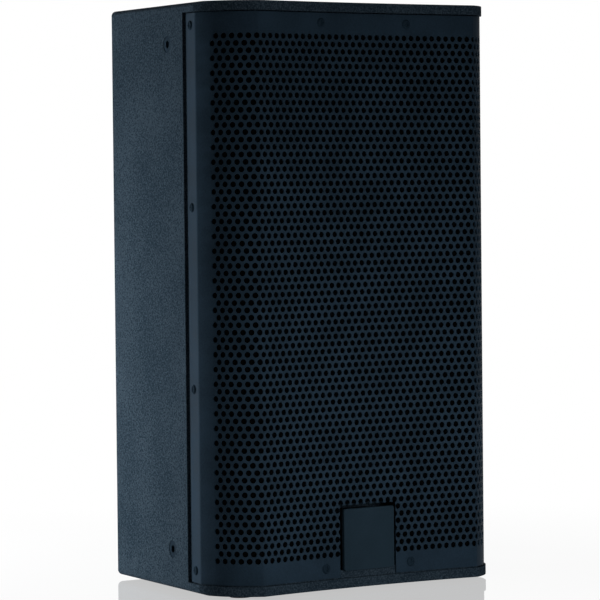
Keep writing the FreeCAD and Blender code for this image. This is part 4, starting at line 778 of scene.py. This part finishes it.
def addLead(node, route, diameter):
    data = bpy.data.curves.new(f"{node}_cord", "CURVE")
    data.dimensions = "3D"
    data.bevel_depth = diameter / 2
    data.bevel_resolution = 4
    data.use_fill_caps = True
    spline = data.splines.new("NURBS")
    spline.points.add(len(route) - 1)
    for point, place in zip(spline.points, route):
        point.co = (place[0] * mm, place[1] * mm, place[2] * mm, 1.0)
    spline.order_u = 3
    spline.use_endpoint_u = True
    spline.resolution_u = 12
    data.materials.append(finishes["lead_jacket"])
    piece = bpy.data.objects.new(f"{node}_cord", data)
    bpy.context.collection.objects.link(piece)
    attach(piece, "cabinet")
    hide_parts(node)


for leadNode, leadRoute in leads["routes"].items():
    addLead(leadNode, leadRoute, leads["diameter"])

print("floor and lights")
studio = {
    "floorSize": 6.0,
    "floorColour": "#eef3f6",
    "fadeStart": 0.3,        # metres from the object where the floor starts to fade to white
    "fadeEnd": 0.7,
    "floorGlow": 0.9,         # share of plain white in the floor near the object
    "floorMirror": 0.42,      # share of the polished top layer
    "worldColour": "#ffffff",
    "worldStrength": 0.1,
    "roomStrength": 0.05,     # what gloss shows in front and at the sides, where the studio is dark
    "backdrop": (0.25, 0.97, 0.0),
    "backStart": 0.5,         # where the white backdrop begins to show, as a cosine from its middle
    "backEnd": 0.85,
}
# Soft boxes: place, target, size in metres, and power in watts.
softBoxes = {
    "topBox": ((-0.3, -0.4, 2.2), (0, 0, 0.2), 1.6, 6.5),
    "backLeftBox": ((-0.42, 0.65, 0.04), (-0.13, 0.0, 0.12), 0.3, 19.0),
    "frontLowBox": ((-0.02, -0.55, 0.03), (0.0, -0.1, 0.1), 0.3, 2.0),
}


def addFloor(values):
    half = values["floorSize"] / 2
    mesh = bpy.data.meshes.new("floor")
    corners = [(-half, -half, 0), (half, -half, 0), (half, half, 0), (-half, half, 0)]
    mesh.from_pydata(corners, [], [(0, 1, 2, 3)])
    floor = bpy.data.objects.new("floor", mesh)
    bpy.context.collection.objects.link(floor)
    # White acrylic sheet: pale near the object and white to the eye further out, with a polished
    # top that mirrors what stands on it.
    material, tree, shader, place = startMaterial("polishedWhiteAcrylic", {"Roughness": 0.9})
    shader.inputs["Base Color"].default_value = hexColour(values["floorColour"])
    distance = addNode(tree, "ShaderNodeVectorMath", {"operation": "LENGTH"}, {0: place}).outputs["Value"]
    fade = spread(tree, distance, values["floorGlow"], 1.0, values["fadeStart"], values["fadeEnd"])
    seen = seenDirectly(tree)
    amount = addNode(tree, "ShaderNodeMath", {"operation": "MULTIPLY"}, {0: fade, 1: seen}).outputs[0]
    glow = addNode(tree, "ShaderNodeEmission", {"Color": (1, 1, 1, 1), "Strength": 1.0}).outputs[0]
    mix = addNode(tree, "ShaderNodeMixShader", {}, {0: amount, 1: shader.outputs[0], 2: glow})
    polish = addNode(tree, "ShaderNodeBsdfGlossy", {"Color": (1, 1, 1, 1), "Roughness": 0.03}).outputs[0]
    top = addNode(tree, "ShaderNodeMixShader", {0: values["floorMirror"]}, {1: mix.outputs[0], 2: polish})
    tree.links.new(top.outputs[0], tree.nodes["Material Output"].inputs["Surface"])
    mesh.materials.append(material)


def seenDirectly(tree):
    rays = addNode(tree, "ShaderNodeLightPath")
    first = addNode(tree, "ShaderNodeMath", {"operation": "MAXIMUM"},
                    {0: rays.outputs["Is Camera Ray"], 1: rays.outputs["Is Glossy Ray"]}).outputs[0]
    return addNode(tree, "ShaderNodeMath", {"operation": "MAXIMUM"},
                   {0: first, 1: rays.outputs["Is Transmission Ray"]}).outputs[0]


def addWorld(values):
    world = bpy.data.worlds.new("studio")
    bpy.context.scene.world = world
    world.use_nodes = True
    tree = world.node_tree
    light = tree.nodes["Background"]
    light.inputs["Color"].default_value = hexColour(values["worldColour"])
    light.inputs["Strength"].default_value = values["worldStrength"]
    # The eye sees white all round; gloss sees it behind the object, and a dark studio in front.
    rays = addNode(tree, "ShaderNodeLightPath")
    direction = addNode(tree, "ShaderNodeTexCoord").outputs["Generated"]
    behind = addNode(tree, "ShaderNodeVectorMath", {"operation": "DOT_PRODUCT", 1: values["backdrop"]},
                     {0: direction}).outputs["Value"]
    level = spread(tree, behind, values["roomStrength"], 1.0, values["backStart"], values["backEnd"])
    level = addNode(tree, "ShaderNodeMath", {"operation": "MAXIMUM"},
                    {0: level, 1: rays.outputs["Is Camera Ray"]}).outputs[0]
    white = addNode(tree, "ShaderNodeBackground", {"Color": (1, 1, 1, 1)}, {"Strength": level}).outputs[0]
    mix = addNode(tree, "ShaderNodeMixShader", {}, {0: seenDirectly(tree), 1: light.outputs[0], 2: white})
    tree.links.new(mix.outputs[0], tree.nodes["World Output"].inputs["Surface"])


def addSoftBox(name, place, target, size, power):
    data = bpy.data.lights.new(name, "AREA")
    data.shape = "SQUARE"
    data.size = size
    data.energy = power
    lamp = bpy.data.objects.new(name, data)
    bpy.context.collection.objects.link(lamp)
    lamp.location = place
    lamp.visible_camera = False
    lamp.visible_glossy = False
    lamp.rotation_euler = (Vector(target) - Vector(place)).to_track_quat("-Z", "Y").to_euler()


addFloor(studio)
addWorld(studio)
for boxName, boxValues in softBoxes.items():
    addSoftBox(boxName, *boxValues)

bpy.context.scene.view_settings.view_transform = "Standard"
